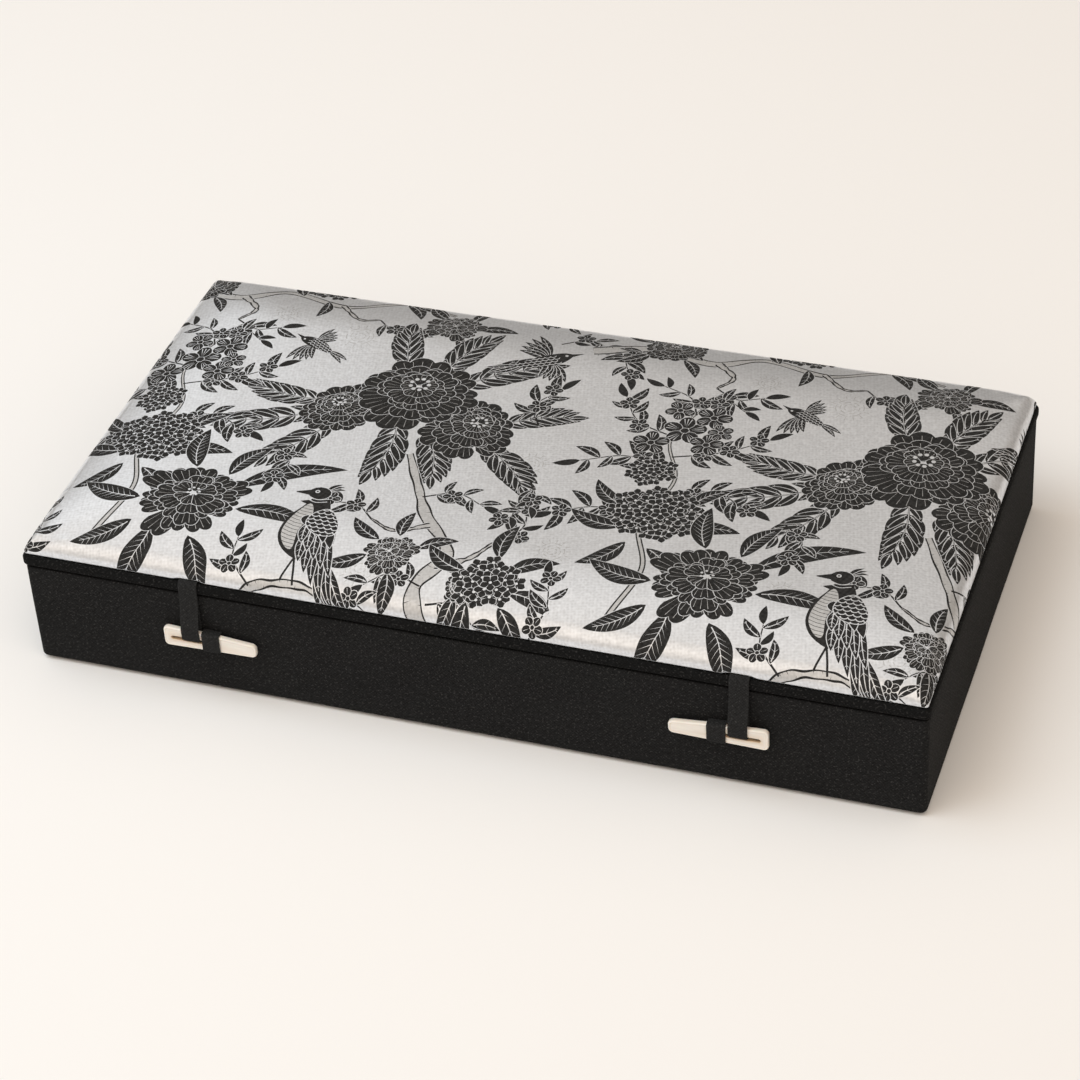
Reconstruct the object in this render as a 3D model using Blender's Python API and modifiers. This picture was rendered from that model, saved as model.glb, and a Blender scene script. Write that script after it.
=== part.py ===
"""A flat jewelry casket: cloth-covered boards, a padded brocade lid on a cloth hinge, and two bone toggles.

The tray is a floor board and four wall boards, wrapped in black book cloth that turns in under the
floor and over the rim, and lined with satin panels. Inside are a floor pad, four dividers and a bank
of ring rolls. The lid is a board in the same cloth, with a foam pad under stretched brocade on top and
a satin pad below. Each strap is a loop of cloth from under the pad, through the slot of a bone toggle.
The toggle's thin end is pushed through a cloth keeper on the front of the tray.

The origin is the middle of the underside. +X runs along the casket, -Y is the front, +Z is up.
All sizes are in metres.
"""

import math

import bmesh
import bpy
from mathutils import Matrix, Vector

# Clearance between pieces that touch on the real casket
SEAT_GAP = 0.0003

# Tray
CASE_LENGTH = 0.400
CASE_WIDTH = 0.216
RIM_HEIGHT = 0.0525
CORNER_RADIUS = 0.003
FLOOR_EDGE_RADIUS = 0.002
RIM_EDGE_RADIUS = 0.0012
COVER_CLOTH = 0.0006
WALL_BOARD = 0.003
FLOOR_BOARD = 0.003
FLOOR_TURN_IN = 0.015
RIM_TURN_IN = 0.012
BASE_SHEET = 0.0008
BASE_SHEET_INSET = 0.006

# Lining and partitions of the tray
LINING_PANEL = 0.0012
LINING_DROP = 0.004
FLOOR_PAD = 0.003
DIVIDER_BOARD = 0.003
DIVIDER_HEIGHT = 0.036
DIVIDER_EDGE_RADIUS = 0.001
CENTRE_BAY_LENGTH = 0.130
CENTRE_DIVIDER_Y = 0.0
RIGHT_DIVIDER_Y = -0.024
RING_ROLL_COUNT = 9
RING_ROLL_HEIGHT = 0.020
RING_ROLL_FOOT = 0.62
RING_ROLL_MIDDLE = 0.46
RING_ROLL_LOWEST_DEGREES = 28
RING_ROLL_END_ROUND = 0.0044
RING_ROLL_END_FULLNESS = 0.80

# Lid board and its cloth
LID_THICKNESS = 0.0055
LID_OVERHANG = 0.00075
LID_EDGE_RADIUS = 0.0022
LID_TURN_IN = 0.014
LID_LINING_PAD = 0.0025
LID_LINING_EDGE_RADIUS = 0.0015
LID_LINING_CLEARANCE = 0.0015

# Padded top of the lid
PAD_INSET = 0.0012
PAD_CORNER_RADIUS = 0.004
PAD_CARD = 0.0015
FOAM_SETBACK = 0.0005
PAD_TURN_IN = 0.012
BROCADE_CLOTH = 0.0005
PAD_HEM_RADIUS = 0.0008
PAD_ROLL_WIDTH = 0.0063
PAD_ROLL_HEIGHT = 0.0100
PAD_DOME_WIDTH = 0.0457
PAD_DOME_HEIGHT = 0.0033
PAD_CORNER_DROP = 0.35
PAD_CORNER_REACH = 0.025

# Cloth hinge along the back
HINGE_CLOTH = 0.0005
HINGE_END_MARGIN = 0.008
HINGE_DROP = 0.018
HINGE_PIVOT_STANDOFF = 0.0009

# Straps and keepers
STRAP_X = 0.1218
STRAP_WIDTH = 0.0084
STRAP_CLOTH = 0.0007
STRAP_TUCK = 0.009
STRAP_NOTCH_MARGIN = 0.0005
STRAP_BEND_RADIUS = 0.0008
STRAP_FLARE_START = 3.2
STRAP_FLARE_END = 0.45
KEEPER_INBOARD = 0.0092
KEEPER_WIDTH = 0.0082
KEEPER_CLOTH = 0.0007
KEEPER_BEND_RADIUS = 0.0012

# Bone toggles
TOGGLE_Z = 0.0306
TOGGLE_LENGTH = 0.043
TOGGLE_OUTBOARD = 0.013
TOGGLE_WIDE_END = 0.0106
TOGGLE_THIN_END = 0.0064
TOGGLE_LOWER_RISE = 0.001
TOGGLE_SHOULDER = 0.6
TOGGLE_SHOULDER_FALL = 0.0014
TOGGLE_THICKNESS = 0.0025
TOGGLE_END_RADIUS = 0.0021
TOGGLE_BEVEL = 0.0007
SLOT_LENGTH = 0.0152
SLOT_HEIGHT = 0.0018
SLOT_END_WALL = 0.0034
SLOT_BELOW_MIDDLE = 0.0006
SLOT_END_ROUNDING = 0.98

# How finely round forms are cut into faces
CORNER_STEPS = 3
EDGE_STEPS = 3
ROLL_STEPS = 5
DOME_STEPS = 5
DOME_RING_SPREAD = 1.4
TOGGLE_STEPS = 4
DIVIDER_STEPS = 2
RING_ROLL_STEPS = 10
RING_ROLL_END_SHARES = (0.0, 0.35, 1.0)
CORNER_ROUND_LIMIT = 0.9
SIDE_FRACTIONS = (0.035, 0.10, 0.5, 0.90, 0.965)
SMALLEST_RADIUS = 0.0005
SHARP_DEGREES = 40

# Levels and half sizes that follow from the driving sizes
HALF_LENGTH = CASE_LENGTH / 2
HALF_WIDTH = CASE_WIDTH / 2
COVER_DEPTH = COVER_CLOTH + SEAT_GAP
COVER_FLOOR_Z = BASE_SHEET + SEAT_GAP
FLOOR_BOARD_Z = COVER_FLOOR_Z + COVER_DEPTH
WALL_BASE_Z = FLOOR_BOARD_Z + FLOOR_BOARD + SEAT_GAP
WALL_TOP_Z = RIM_HEIGHT - COVER_DEPTH
RIM_WIDTH = 2 * COVER_DEPTH + WALL_BOARD
LINING_OUTER_X = HALF_LENGTH - RIM_WIDTH - SEAT_GAP
LINING_OUTER_Y = HALF_WIDTH - RIM_WIDTH - SEAT_GAP
INNER_X = LINING_OUTER_X - LINING_PANEL
INNER_Y = LINING_OUTER_Y - LINING_PANEL
BAY_FLOOR_Z = WALL_BASE_Z + FLOOR_PAD + SEAT_GAP

LID_BASE_Z = RIM_HEIGHT + SEAT_GAP
LID_TOP_Z = LID_BASE_Z + LID_THICKNESS
LID_FRONT_Y = -HALF_WIDTH - LID_OVERHANG
LID_HALF_X = HALF_LENGTH + LID_OVERHANG
LID_HALF_Y = (HALF_WIDTH - LID_FRONT_Y) / 2
LID_CENTRE_Y = (HALF_WIDTH + LID_FRONT_Y) / 2
LID_BOARD = LID_THICKNESS - 2 * COVER_DEPTH
PAD_BASE_Z = LID_TOP_Z + SEAT_GAP
PAD_HALF_X = LID_HALF_X - PAD_INSET
PAD_HALF_Y = LID_HALF_Y - PAD_INSET
BROCADE_DEPTH = BROCADE_CLOTH + SEAT_GAP
PAD_CARD_Z = PAD_BASE_Z + BROCADE_DEPTH
FOAM_Z = PAD_CARD_Z + PAD_CARD + SEAT_GAP

HINGE_Y = HALF_WIDTH + HINGE_PIVOT_STANDOFF
HINGE_Z = RIM_HEIGHT + SEAT_GAP / 2

STRAP_STEP = STRAP_CLOTH + SEAT_GAP
STRAP_BACK_Y = LID_FRONT_Y - SEAT_GAP - STRAP_CLOTH / 2
TOGGLE_BACK_Y = STRAP_BACK_Y - STRAP_CLOTH / 2 - SEAT_GAP
TOGGLE_FRONT_Y = TOGGLE_BACK_Y - TOGGLE_THICKNESS
TOGGLE_TOP_Z = TOGGLE_Z + TOGGLE_WIDE_END / 2
TOGGLE_BOTTOM_Z = TOGGLE_Z - TOGGLE_WIDE_END / 2
SLOT_Z = TOGGLE_Z - SLOT_BELOW_MIDDLE

MATERIALS = {
    "black_cloth": ((0.016, 0.016, 0.016), 0.9, 0.0),
    "strap_cloth": ((0.022, 0.022, 0.022), 0.85, 0.0),
    "fibreboard": ((0.35, 0.33, 0.30), 0.95, 0.0),
    "base_felt": ((0.03, 0.03, 0.03), 1.0, 0.0),
    "satin_lining": ((0.42, 0.42, 0.43), 0.45, 0.0),
    "pad_foam": ((0.85, 0.82, 0.72), 0.95, 0.0),
    "silver_brocade": ((0.52, 0.52, 0.51), 0.4, 0.0),
    "bone": ((0.83, 0.74, 0.62), 0.35, 0.0),
}


def clear_scene():
    """Remove every object, so that a second run starts from nothing."""
    for item in list(bpy.data.objects):
        bpy.data.objects.remove(item, do_unlink=True)


def make_collection(name):
    """A collection under the scene, made once."""
    found = bpy.data.collections.get(name)
    if found is None:
        found = bpy.data.collections.new(name)
        bpy.context.scene.collection.children.link(found)
    return found


def make_material(name):
    """A Principled material with the colour, roughness and metallic value of its finish."""
    material = bpy.data.materials.get(name)
    if material is None:
        colour, roughness, metallic = MATERIALS[name]
        material = bpy.data.materials.new(name)
        material.use_nodes = True
        shader = material.node_tree.nodes["Principled BSDF"]
        shader.inputs["Base Color"].default_value = (*colour, 1.0)
        shader.inputs["Roughness"].default_value = roughness
        shader.inputs["Metallic"].default_value = metallic
        material.diffuse_color = (*colour, 1.0)
    return material


def add_piece(name, mesh, finish, location=(0, 0, 0)):
    """An object of the casket at its place, shaded smooth, in the casket's collection."""
    piece = bpy.data.objects.new(name, mesh)
    piece.location = location
    mesh.shade_smooth()
    mesh.set_sharp_from_angle(angle=math.radians(SHARP_DEGREES))
    mesh.materials.clear()
    mesh.materials.append(make_material(finish))
    make_collection("jewelry_casket").objects.link(piece)
    return piece


def add_cutter(name, mesh, location):
    """A guide that only cuts other pieces and is never part of the casket."""
    cutter = bpy.data.objects.new(name, mesh)
    cutter.location = location
    cutter.hide_render = True
    cutter.display_type = "WIRE"
    make_collection("cutters").objects.link(cutter)
    return cutter


def cut(piece, cutter):
    """Take the cutter's shape out of the piece."""
    boolean = piece.modifiers.new("cut_" + cutter.name, "BOOLEAN")
    boolean.operation = "DIFFERENCE"
    boolean.solver = "EXACT"
    boolean.object = cutter


def thicken(piece, thickness, offset):
    """Give an open sheet its wall. Offset -1 grows it behind its faces, 0 to both sides."""
    solidify = piece.modifiers.new("wall", "SOLIDIFY")
    solidify.thickness = thickness
    solidify.offset = offset
    solidify.use_even_offset = True


def round_edges(piece, radius, steps):
    """Round every sharp edge of a piece."""
    bevel = piece.modifiers.new("round_edges", "BEVEL")
    bevel.width = radius
    bevel.segments = steps
    bevel.limit_method = "ANGLE"


def block_mesh(name, size):
    """A box of the given size round its own middle."""
    mesh = bpy.data.meshes.new(name)
    shape = bmesh.new()
    bmesh.ops.create_cube(shape, size=1.0, matrix=Matrix.Diagonal((*size, 1.0)))
    shape.to_mesh(mesh)
    shape.free()
    return mesh


def block(name, finish, low, high):
    """A board between two opposite corners."""
    low, high = Vector(low), Vector(high)
    return add_piece(name, block_mesh(name, high - low), finish, (low + high) / 2)


def outline(half_x, half_y, radius, fractions=()):
    """A rectangle with round corners, anticlockwise seen from above, with extra points on each side."""
    radius = max(radius, SMALLEST_RADIUS)
    signs = ((1, 1), (-1, 1), (-1, -1), (1, -1))
    arcs = []
    for quarter, (sign_x, sign_y) in enumerate(signs):
        middle = Vector((sign_x * (half_x - radius), sign_y * (half_y - radius)))
        angles = [math.radians(90 * (quarter + step / CORNER_STEPS)) for step in range(CORNER_STEPS + 1)]
        arcs.append([middle + radius * Vector((math.cos(a), math.sin(a))) for a in angles])
    points = []
    for arc, following in zip(arcs, arcs[1:] + arcs[:1]):
        points += arc
        points += [arc[-1].lerp(following[0], share) for share in fractions]
    return points


def arc_profile(centre, radius, start_degrees, end_degrees):
    """Points of an arc in a section, from one angle to the other."""
    turn = end_degrees - start_degrees
    angles = [math.radians(start_degrees + turn * step / EDGE_STEPS) for step in range(EDGE_STEPS + 1)]
    return [(centre[0] + radius * math.cos(a), centre[1] + radius * math.sin(a)) for a in angles]


def skin(name, rings, cap_first=False, cap_last=False):
    """A mesh lofted over rings of equally many points. Caps close its ends."""
    mesh = bpy.data.meshes.new(name)
    shape = bmesh.new()
    rows = [[shape.verts.new(point) for point in ring] for ring in rings]
    count = len(rows[0])
    for lower, upper in zip(rows, rows[1:]):
        for index in range(count):
            after = (index + 1) % count
            shape.faces.new((lower[index], lower[after], upper[after], upper[index]))
    if cap_first:
        shape.faces.new(reversed(rows[0]))
    if cap_last:
        shape.faces.new(rows[-1])
    shape.to_mesh(mesh)
    shape.free()
    return mesh


def rings_from_profile(profile, half_x, half_y, corner):
    """Carry a section round the casket: each (inset, height) point becomes one ring."""
    rings = []
    for inset, height in profile:
        flat = outline(half_x - inset, half_y - inset, corner - inset)
        rings.append([Vector((x, y, height)) for x, y in flat])
    return rings


def folded_sheet_profile(height, edge_low, edge_high, depth_low, depth_high):
    """Section of a cloth that turns in below, climbs the side and turns in above, seen from outside."""
    profile = [(depth_low, 0.0)]
    profile += arc_profile((edge_low, edge_low), edge_low, 270, 180)
    profile += arc_profile((edge_high, height - edge_high), edge_high, 180, 90)
    profile.append((depth_high, height))
    return profile


def ribbon(name, finish, path, width, cloth, middle_x):
    """A flat strap: a path in the YZ plane carried along X to its width, and thickened to both sides."""
    mesh = bpy.data.meshes.new(name)
    shape = bmesh.new()
    rows = [[shape.verts.new((side * width / 2, y, z)) for side in (-1, 1)] for y, z in path]
    for lower, upper in zip(rows, rows[1:]):
        shape.faces.new((lower[0], lower[1], upper[1], upper[0]))
    shape.to_mesh(mesh)
    shape.free()
    piece = add_piece(name, mesh, finish, (middle_x, 0, 0))
    thicken(piece, cloth, 0)
    return piece


def build_case_boards():
    """Floor board with a rounded lower edge, and four wall boards that stand on it."""
    half_x = HALF_LENGTH - COVER_DEPTH
    half_y = HALF_WIDTH - COVER_DEPTH
    corner = CORNER_RADIUS - COVER_DEPTH
    lower_edge = FLOOR_EDGE_RADIUS - COVER_DEPTH
    profile = arc_profile((lower_edge, lower_edge), lower_edge, 270, 180) + [(0.0, FLOOR_BOARD)]
    mesh = skin("floor_board", rings_from_profile(profile, half_x, half_y, corner), True, True)
    add_piece("floor_board", mesh, "fibreboard", (0, 0, FLOOR_BOARD_Z))

    wall_height = WALL_TOP_Z - WALL_BASE_Z
    for name, side in (("front_board", -1), ("back_board", 1)):
        mesh = block_mesh(name, (2 * half_x, WALL_BOARD, wall_height))
        round_outer_corners(mesh, side, corner)
        middle_y = side * (half_y - WALL_BOARD / 2)
        add_piece(name, mesh, "fibreboard", (0, middle_y, (WALL_TOP_Z + WALL_BASE_Z) / 2))
    end_y = half_y - WALL_BOARD - SEAT_GAP
    for name, side in (("left_board", -1), ("right_board", 1)):
        outer, inner = side * half_x, side * (half_x - WALL_BOARD)
        block(
            name,
            "fibreboard",
            (min(outer, inner), -end_y, WALL_BASE_Z),
            (max(outer, inner), end_y, WALL_TOP_Z),
        )


def round_outer_corners(mesh, side, radius):
    """Round the two upright edges of a front or back board that lie on the casket's corners."""
    shape = bmesh.new()
    shape.from_mesh(mesh)
    radius = min(radius, CORNER_ROUND_LIMIT * WALL_BOARD)
    upright = [
        edge
        for edge in shape.edges
        if abs(edge.verts[0].co.z - edge.verts[1].co.z) > SMALLEST_RADIUS
        and edge.verts[0].co.y * side > 0
    ]
    bmesh.ops.bevel(
        shape, geom=upright, offset=radius, segments=CORNER_STEPS, profile=0.5, affect="EDGES"
    )
    shape.to_mesh(mesh)
    shape.free()


def build_case_cloth():
    """Book cloth round the tray: in under the floor, up the walls, over the rim and down inside."""
    height = RIM_HEIGHT - COVER_FLOOR_Z
    rim = RIM_EDGE_RADIUS
    profile = folded_sheet_profile(height, FLOOR_EDGE_RADIUS, rim, FLOOR_TURN_IN, RIM_WIDTH - rim)[:-1]
    profile += arc_profile((RIM_WIDTH - rim, height - rim), rim, 90, 0)
    profile.append((RIM_WIDTH, height - RIM_TURN_IN))
    mesh = skin("body_cover_cloth", rings_from_profile(profile, HALF_LENGTH, HALF_WIDTH, CORNER_RADIUS))
    cloth = add_piece("body_cover_cloth", mesh, "black_cloth", (0, 0, COVER_FLOOR_Z))
    thicken(cloth, COVER_CLOTH, -1)

    inset = BASE_SHEET_INSET
    flat = [(inset, 0.0), (inset, BASE_SHEET)]
    sheet = skin("base_sheet", rings_from_profile(flat, HALF_LENGTH, HALF_WIDTH, CORNER_RADIUS), True, True)
    add_piece("base_sheet", sheet, "base_felt")


def build_lining():
    """Satin panels on the four walls and a soft pad on the floor."""
    top = RIM_HEIGHT - LINING_DROP
    end_y = INNER_Y - SEAT_GAP
    for name, side in (("front_lining", -1), ("back_lining", 1)):
        near, far = sorted((side * INNER_Y, side * LINING_OUTER_Y))
        block(name, "satin_lining", (-LINING_OUTER_X, near, WALL_BASE_Z), (LINING_OUTER_X, far, top))
    for name, side in (("left_lining", -1), ("right_lining", 1)):
        near, far = sorted((side * INNER_X, side * LINING_OUTER_X))
        block(name, "satin_lining", (near, -end_y, WALL_BASE_Z), (far, end_y, top))
    pad_x, pad_y = INNER_X - SEAT_GAP, INNER_Y - SEAT_GAP
    block(
        "floor_pad", "satin_lining", (-pad_x, -pad_y, WALL_BASE_Z), (pad_x, pad_y, WALL_BASE_Z + FLOOR_PAD)
    )


def build_dividers():
    """Two dividers across the tray and two along it, which stand on the floor pad."""
    top = BAY_FLOOR_Z + DIVIDER_HEIGHT
    end_y = INNER_Y - SEAT_GAP
    middle_x = (CENTRE_BAY_LENGTH + DIVIDER_BOARD) / 2
    half = DIVIDER_BOARD / 2
    pieces = []
    for name, x in (("left_cross_divider", -middle_x), ("right_cross_divider", middle_x)):
        pieces.append(block(name, "satin_lining", (x - half, -end_y, BAY_FLOOR_Z), (x + half, end_y, top)))
    bay_end = CENTRE_BAY_LENGTH / 2 - SEAT_GAP
    right_start = middle_x + half + SEAT_GAP
    spans = (
        ("centre_divider", -bay_end, bay_end, CENTRE_DIVIDER_Y),
        ("right_divider", right_start, INNER_X - SEAT_GAP, RIGHT_DIVIDER_Y),
    )
    for name, start, end, y in spans:
        pieces.append(block(name, "satin_lining", (start, y - half, BAY_FLOOR_Z), (end, y + half, top)))
    for piece in pieces:
        round_edges(piece, DIVIDER_EDGE_RADIUS, DIVIDER_STEPS)


def roll_section(half_width, height):
    """Section of a ring roll: round above, drawn in to a narrow flat foot below, as (y, z)."""
    foot = half_width * RING_ROLL_FOOT
    points = [(-foot, 0.0), (foot, 0.0)]
    middle = height * RING_ROLL_MIDDLE
    turn = 180 + 2 * RING_ROLL_LOWEST_DEGREES
    for step in range(RING_ROLL_STEPS + 1):
        angle = math.radians(turn * step / RING_ROLL_STEPS - RING_ROLL_LOWEST_DEGREES)
        reach = height - middle if math.sin(angle) > 0 else middle
        points.append((half_width * math.cos(angle), middle + reach * math.sin(angle)))
    return points


def roll_stations(start, end):
    """Places along a ring roll, each with its fullness: the roll swells from its sewn ends."""
    swell = []
    for share in RING_ROLL_END_SHARES:
        fullness = 1 - (1 - RING_ROLL_END_FULLNESS) * (1 - share) ** 2
        swell.append((RING_ROLL_END_ROUND * share, fullness))
    near = [(start + distance, fullness) for distance, fullness in swell]
    far = [(end - distance, fullness) for distance, fullness in reversed(swell)]
    return near + far


def build_ring_rolls():
    """A bank of soft rolls, side by side along the left bay. Rings are held between neighbours."""
    start = -INNER_X + SEAT_GAP
    end = -(CENTRE_BAY_LENGTH / 2 + DIVIDER_BOARD) - SEAT_GAP
    pitch = 2 * (INNER_Y - SEAT_GAP) / RING_ROLL_COUNT
    half_width = (pitch - SEAT_GAP) / 2
    for index in range(RING_ROLL_COUNT):
        name = f"ring_roll_{index + 1}"
        middle_y = -INNER_Y + SEAT_GAP + pitch * (index + 0.5)
        rings = []
        for x, fullness in roll_stations(start, end):
            section = roll_section(half_width * fullness, RING_ROLL_HEIGHT * fullness)
            rings.append([Vector((x, y, z)) for y, z in section])
        mesh = skin(name, rings, True, True)
        add_piece(name, mesh, "satin_lining", (0, middle_y, BAY_FLOOR_Z))


def toggle_outline():
    """Corners of a toggle round its middle, thin end towards +X, as (x, z) before rounding."""
    half = TOGGLE_LENGTH / 2
    top = TOGGLE_WIDE_END / 2
    thin_low = -top + TOGGLE_LOWER_RISE
    shoulder_x = -half + TOGGLE_SHOULDER * TOGGLE_LENGTH
    return [
        (-half, -top),
        (half, thin_low),
        (half, thin_low + TOGGLE_THIN_END),
        (shoulder_x, top - TOGGLE_SHOULDER_FALL),
        (-half, top),
    ]


def rounded_polygon(corners, radius, steps):
    """Replace each corner of a flat outline with an arc that touches both of its sides."""
    points = []
    count = len(corners)
    for index, corner in enumerate(corners):
        here = Vector(corner)
        before = (Vector(corners[index - 1]) - here).normalized()
        after = (Vector(corners[(index + 1) % count]) - here).normalized()
        half_angle = before.angle(after) / 2
        centre = here + (before + after).normalized() * radius / math.sin(half_angle)
        reach = radius / math.tan(half_angle)
        start = here + before * reach - centre
        end = here + after * reach - centre
        turn = start.angle_signed(end)
        for step in range(steps + 1):
            arm = start.copy()
            arm.rotate(Matrix.Rotation(-turn * step / steps, 2))
            points.append(centre + arm)
    return points


def flat_shape_mesh(name, points, half_thickness, bevel):
    """A flat outline in the XZ plane, extruded along Y with a small bevel, as a closed mesh."""
    curve = bpy.data.curves.new(name, "CURVE")
    curve.dimensions = "2D"
    curve.fill_mode = "BOTH"
    curve.extrude = half_thickness - bevel
    curve.bevel_depth = bevel
    curve.bevel_resolution = 1
    curve.offset = -bevel
    spline = curve.splines.new("POLY")
    spline.points.add(len(points) - 1)
    for spline_point, (x, z) in zip(spline.points, points):
        spline_point.co = (x, z, 0, 1)
    spline.use_cyclic_u = True
    guide = bpy.data.objects.new(name, curve)
    guide.rotation_euler = (math.radians(90), 0, 0)
    make_collection("cutters").objects.link(guide)
    bpy.context.view_layer.update()
    evaluated = guide.evaluated_get(bpy.context.evaluated_depsgraph_get())
    mesh = bpy.data.meshes.new_from_object(evaluated)
    mesh.transform(guide.matrix_world)
    shape = bmesh.new()
    shape.from_mesh(mesh)
    bmesh.ops.remove_doubles(shape, verts=shape.verts, dist=0.00001)
    bmesh.ops.recalc_face_normals(shape, faces=shape.faces)
    shape.to_mesh(mesh)
    shape.free()
    bpy.data.objects.remove(guide, do_unlink=True)
    return mesh


def build_toggles():
    """Two bone toggles, mirror images. Their thin ends point to the middle of the casket."""
    middle_y = (TOGGLE_BACK_Y + TOGGLE_FRONT_Y) / 2
    toggles = []
    for name, side in (("toggle_left", -1), ("toggle_right", 1)):
        middle_x = side * (STRAP_X + TOGGLE_OUTBOARD - TOGGLE_LENGTH / 2)
        corners = toggle_outline()
        if side > 0:
            corners = [(-x, z) for x, z in reversed(corners)]
        points = rounded_polygon(corners, TOGGLE_END_RADIUS, TOGGLE_STEPS)
        mesh = flat_shape_mesh(name, points, TOGGLE_THICKNESS / 2, TOGGLE_BEVEL)
        toggle = add_piece(name, mesh, "bone", (middle_x, middle_y, TOGGLE_Z))

        slot_x = side * (TOGGLE_LENGTH / 2 - SLOT_END_WALL - SLOT_LENGTH / 2)
        half_x, half_z = SLOT_LENGTH / 2, SLOT_HEIGHT / 2
        slot_corners = [(-half_x, -half_z), (half_x, -half_z), (half_x, half_z), (-half_x, half_z)]
        slot_points = rounded_polygon(slot_corners, half_z * SLOT_END_ROUNDING, TOGGLE_STEPS)
        slot_mesh = flat_shape_mesh(name + "_slot", slot_points, TOGGLE_THICKNESS, 0.0)
        cutter = add_cutter(name + "_slot", slot_mesh, (middle_x + slot_x, middle_y, SLOT_Z))
        cut(toggle, cutter)
        toggles.append(toggle)
    return toggles


def strap_path():
    """Section of a strap: under the pad, over the lid's edge, in front of the toggle and back behind it."""
    edge_y = LID_FRONT_Y + LID_EDGE_RADIUS
    edge_z = LID_TOP_Z - LID_EDGE_RADIUS
    inner_radius = LID_EDGE_RADIUS + SEAT_GAP + STRAP_CLOTH / 2
    outer_radius = inner_radius + STRAP_STEP
    tuck_y = edge_y + STRAP_TUCK
    front_y = TOGGLE_FRONT_Y - SEAT_GAP - STRAP_CLOTH / 2
    outer_y = STRAP_BACK_Y - STRAP_STEP
    bend = STRAP_BEND_RADIUS
    step_out = outer_y - front_y
    path = [(tuck_y, edge_z + outer_radius)]
    path += arc_profile((edge_y, edge_z), outer_radius, 90, 180)
    path.append((outer_y, TOGGLE_TOP_Z + STRAP_FLARE_START * step_out))
    path.append((front_y, TOGGLE_TOP_Z + STRAP_FLARE_END * step_out))
    path += arc_profile((front_y + bend, SLOT_Z + bend), bend, 180, 270)
    path += arc_profile((STRAP_BACK_Y - bend, SLOT_Z + bend), bend, 270, 360)
    path += arc_profile((edge_y, edge_z), inner_radius, 180, 90)
    path.append((tuck_y, edge_z + inner_radius))
    return path


def toggle_edges(distance):
    """Heights of a toggle's lower and upper edge, at a distance from its wide end."""
    lower = TOGGLE_BOTTOM_Z + TOGGLE_LOWER_RISE * distance / TOGGLE_LENGTH
    shoulder = TOGGLE_SHOULDER * TOGGLE_LENGTH
    upper = TOGGLE_TOP_Z - TOGGLE_SHOULDER_FALL * min(distance / shoulder, 1.0)
    return lower, upper


def keeper_path(distance):
    """Section of a keeper, at a distance from the toggle's wide end: (y, z) points of its middle line."""
    half = KEEPER_CLOTH / 2
    lower, upper = toggle_edges(distance)
    back_y = -HALF_WIDTH - SEAT_GAP - half
    front_y = TOGGLE_FRONT_Y - SEAT_GAP - half
    high_z = upper + SEAT_GAP + half
    low_z = lower - SEAT_GAP - half
    bend = KEEPER_BEND_RADIUS
    path = arc_profile((back_y - bend, low_z + bend), bend, 0, -90)
    path += arc_profile((front_y + bend, low_z + bend), bend, 270, 180)
    path += arc_profile((front_y + bend, high_z - bend), bend, 180, 90)
    path += arc_profile((back_y - bend, high_z - bend), bend, 90, 0)
    return path


def build_keepers():
    """A cloth ring on the front of the tray for each toggle's thin end, tapered as the toggle is."""
    for name, side in (("keeper_left", -1), ("keeper_right", 1)):
        x = side * (STRAP_X - KEEPER_INBOARD)
        rings = []
        for end in (-1, 1):
            distance = TOGGLE_OUTBOARD + KEEPER_INBOARD - side * end * KEEPER_WIDTH / 2
            rings.append([Vector((end * KEEPER_WIDTH / 2, y, z)) for y, z in keeper_path(distance)])
        keeper = add_piece(name, skin(name, rings), "strap_cloth", (x, 0, 0))
        thicken(keeper, KEEPER_CLOTH, 0)


def build_straps():
    """The two straps, whose ends are glued between the lid and its pad."""
    straps = []
    for name, side in (("strap_left", -1), ("strap_right", 1)):
        straps.append(ribbon(name, "strap_cloth", strap_path(), STRAP_WIDTH, STRAP_CLOTH, side * STRAP_X))
    return straps


def pad_surface(half_x, half_y, corner, roll_height, hem_height):
    """Rings of a crowned pad: a tight roll along the edge, then a low dome that is lower at the corners."""
    quarter = [math.pi / 2 * step / ROLL_STEPS for step in range(ROLL_STEPS + 1)]
    insets = [PAD_ROLL_WIDTH * (1 - math.cos(angle)) for angle in quarter]
    reach = PAD_DOME_WIDTH - PAD_ROLL_WIDTH
    spread = [(step / DOME_STEPS) ** DOME_RING_SPREAD for step in range(1, DOME_STEPS + 1)]
    insets += [PAD_ROLL_WIDTH + reach * share for share in spread]
    insets.append((half_y + PAD_DOME_WIDTH) / 2)
    rings = []
    for inset in insets:
        edge_share = min(inset / PAD_ROLL_WIDTH, 1.0)
        dome_share = min(inset / PAD_DOME_WIDTH, 1.0)
        roll = math.sqrt(max(0.0, 1 - (1 - edge_share) ** 2))
        dome = 1 - (1 - dome_share) ** 2
        ring = []
        for x, y in outline(half_x - inset, half_y - inset, corner - inset, SIDE_FRACTIONS):
            near_x = max(0.0, 1 - (half_x - abs(x)) / PAD_CORNER_REACH)
            near_y = max(0.0, 1 - (half_y - abs(y)) / PAD_CORNER_REACH)
            drop = 1 - PAD_CORNER_DROP * near_x * near_y
            height = hem_height + (roll_height - hem_height) * roll * drop + PAD_DOME_HEIGHT * dome
            ring.append(Vector((x, y, height)))
        rings.append(ring)
    return rings


def pad_ring(half_x, half_y, corner, inset, height):
    """A level ring of the pad, with the same points as its crowned rings."""
    flat = outline(half_x - inset, half_y - inset, corner - inset, SIDE_FRACTIONS)
    return [Vector((x, y, height)) for x, y in flat]


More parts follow.
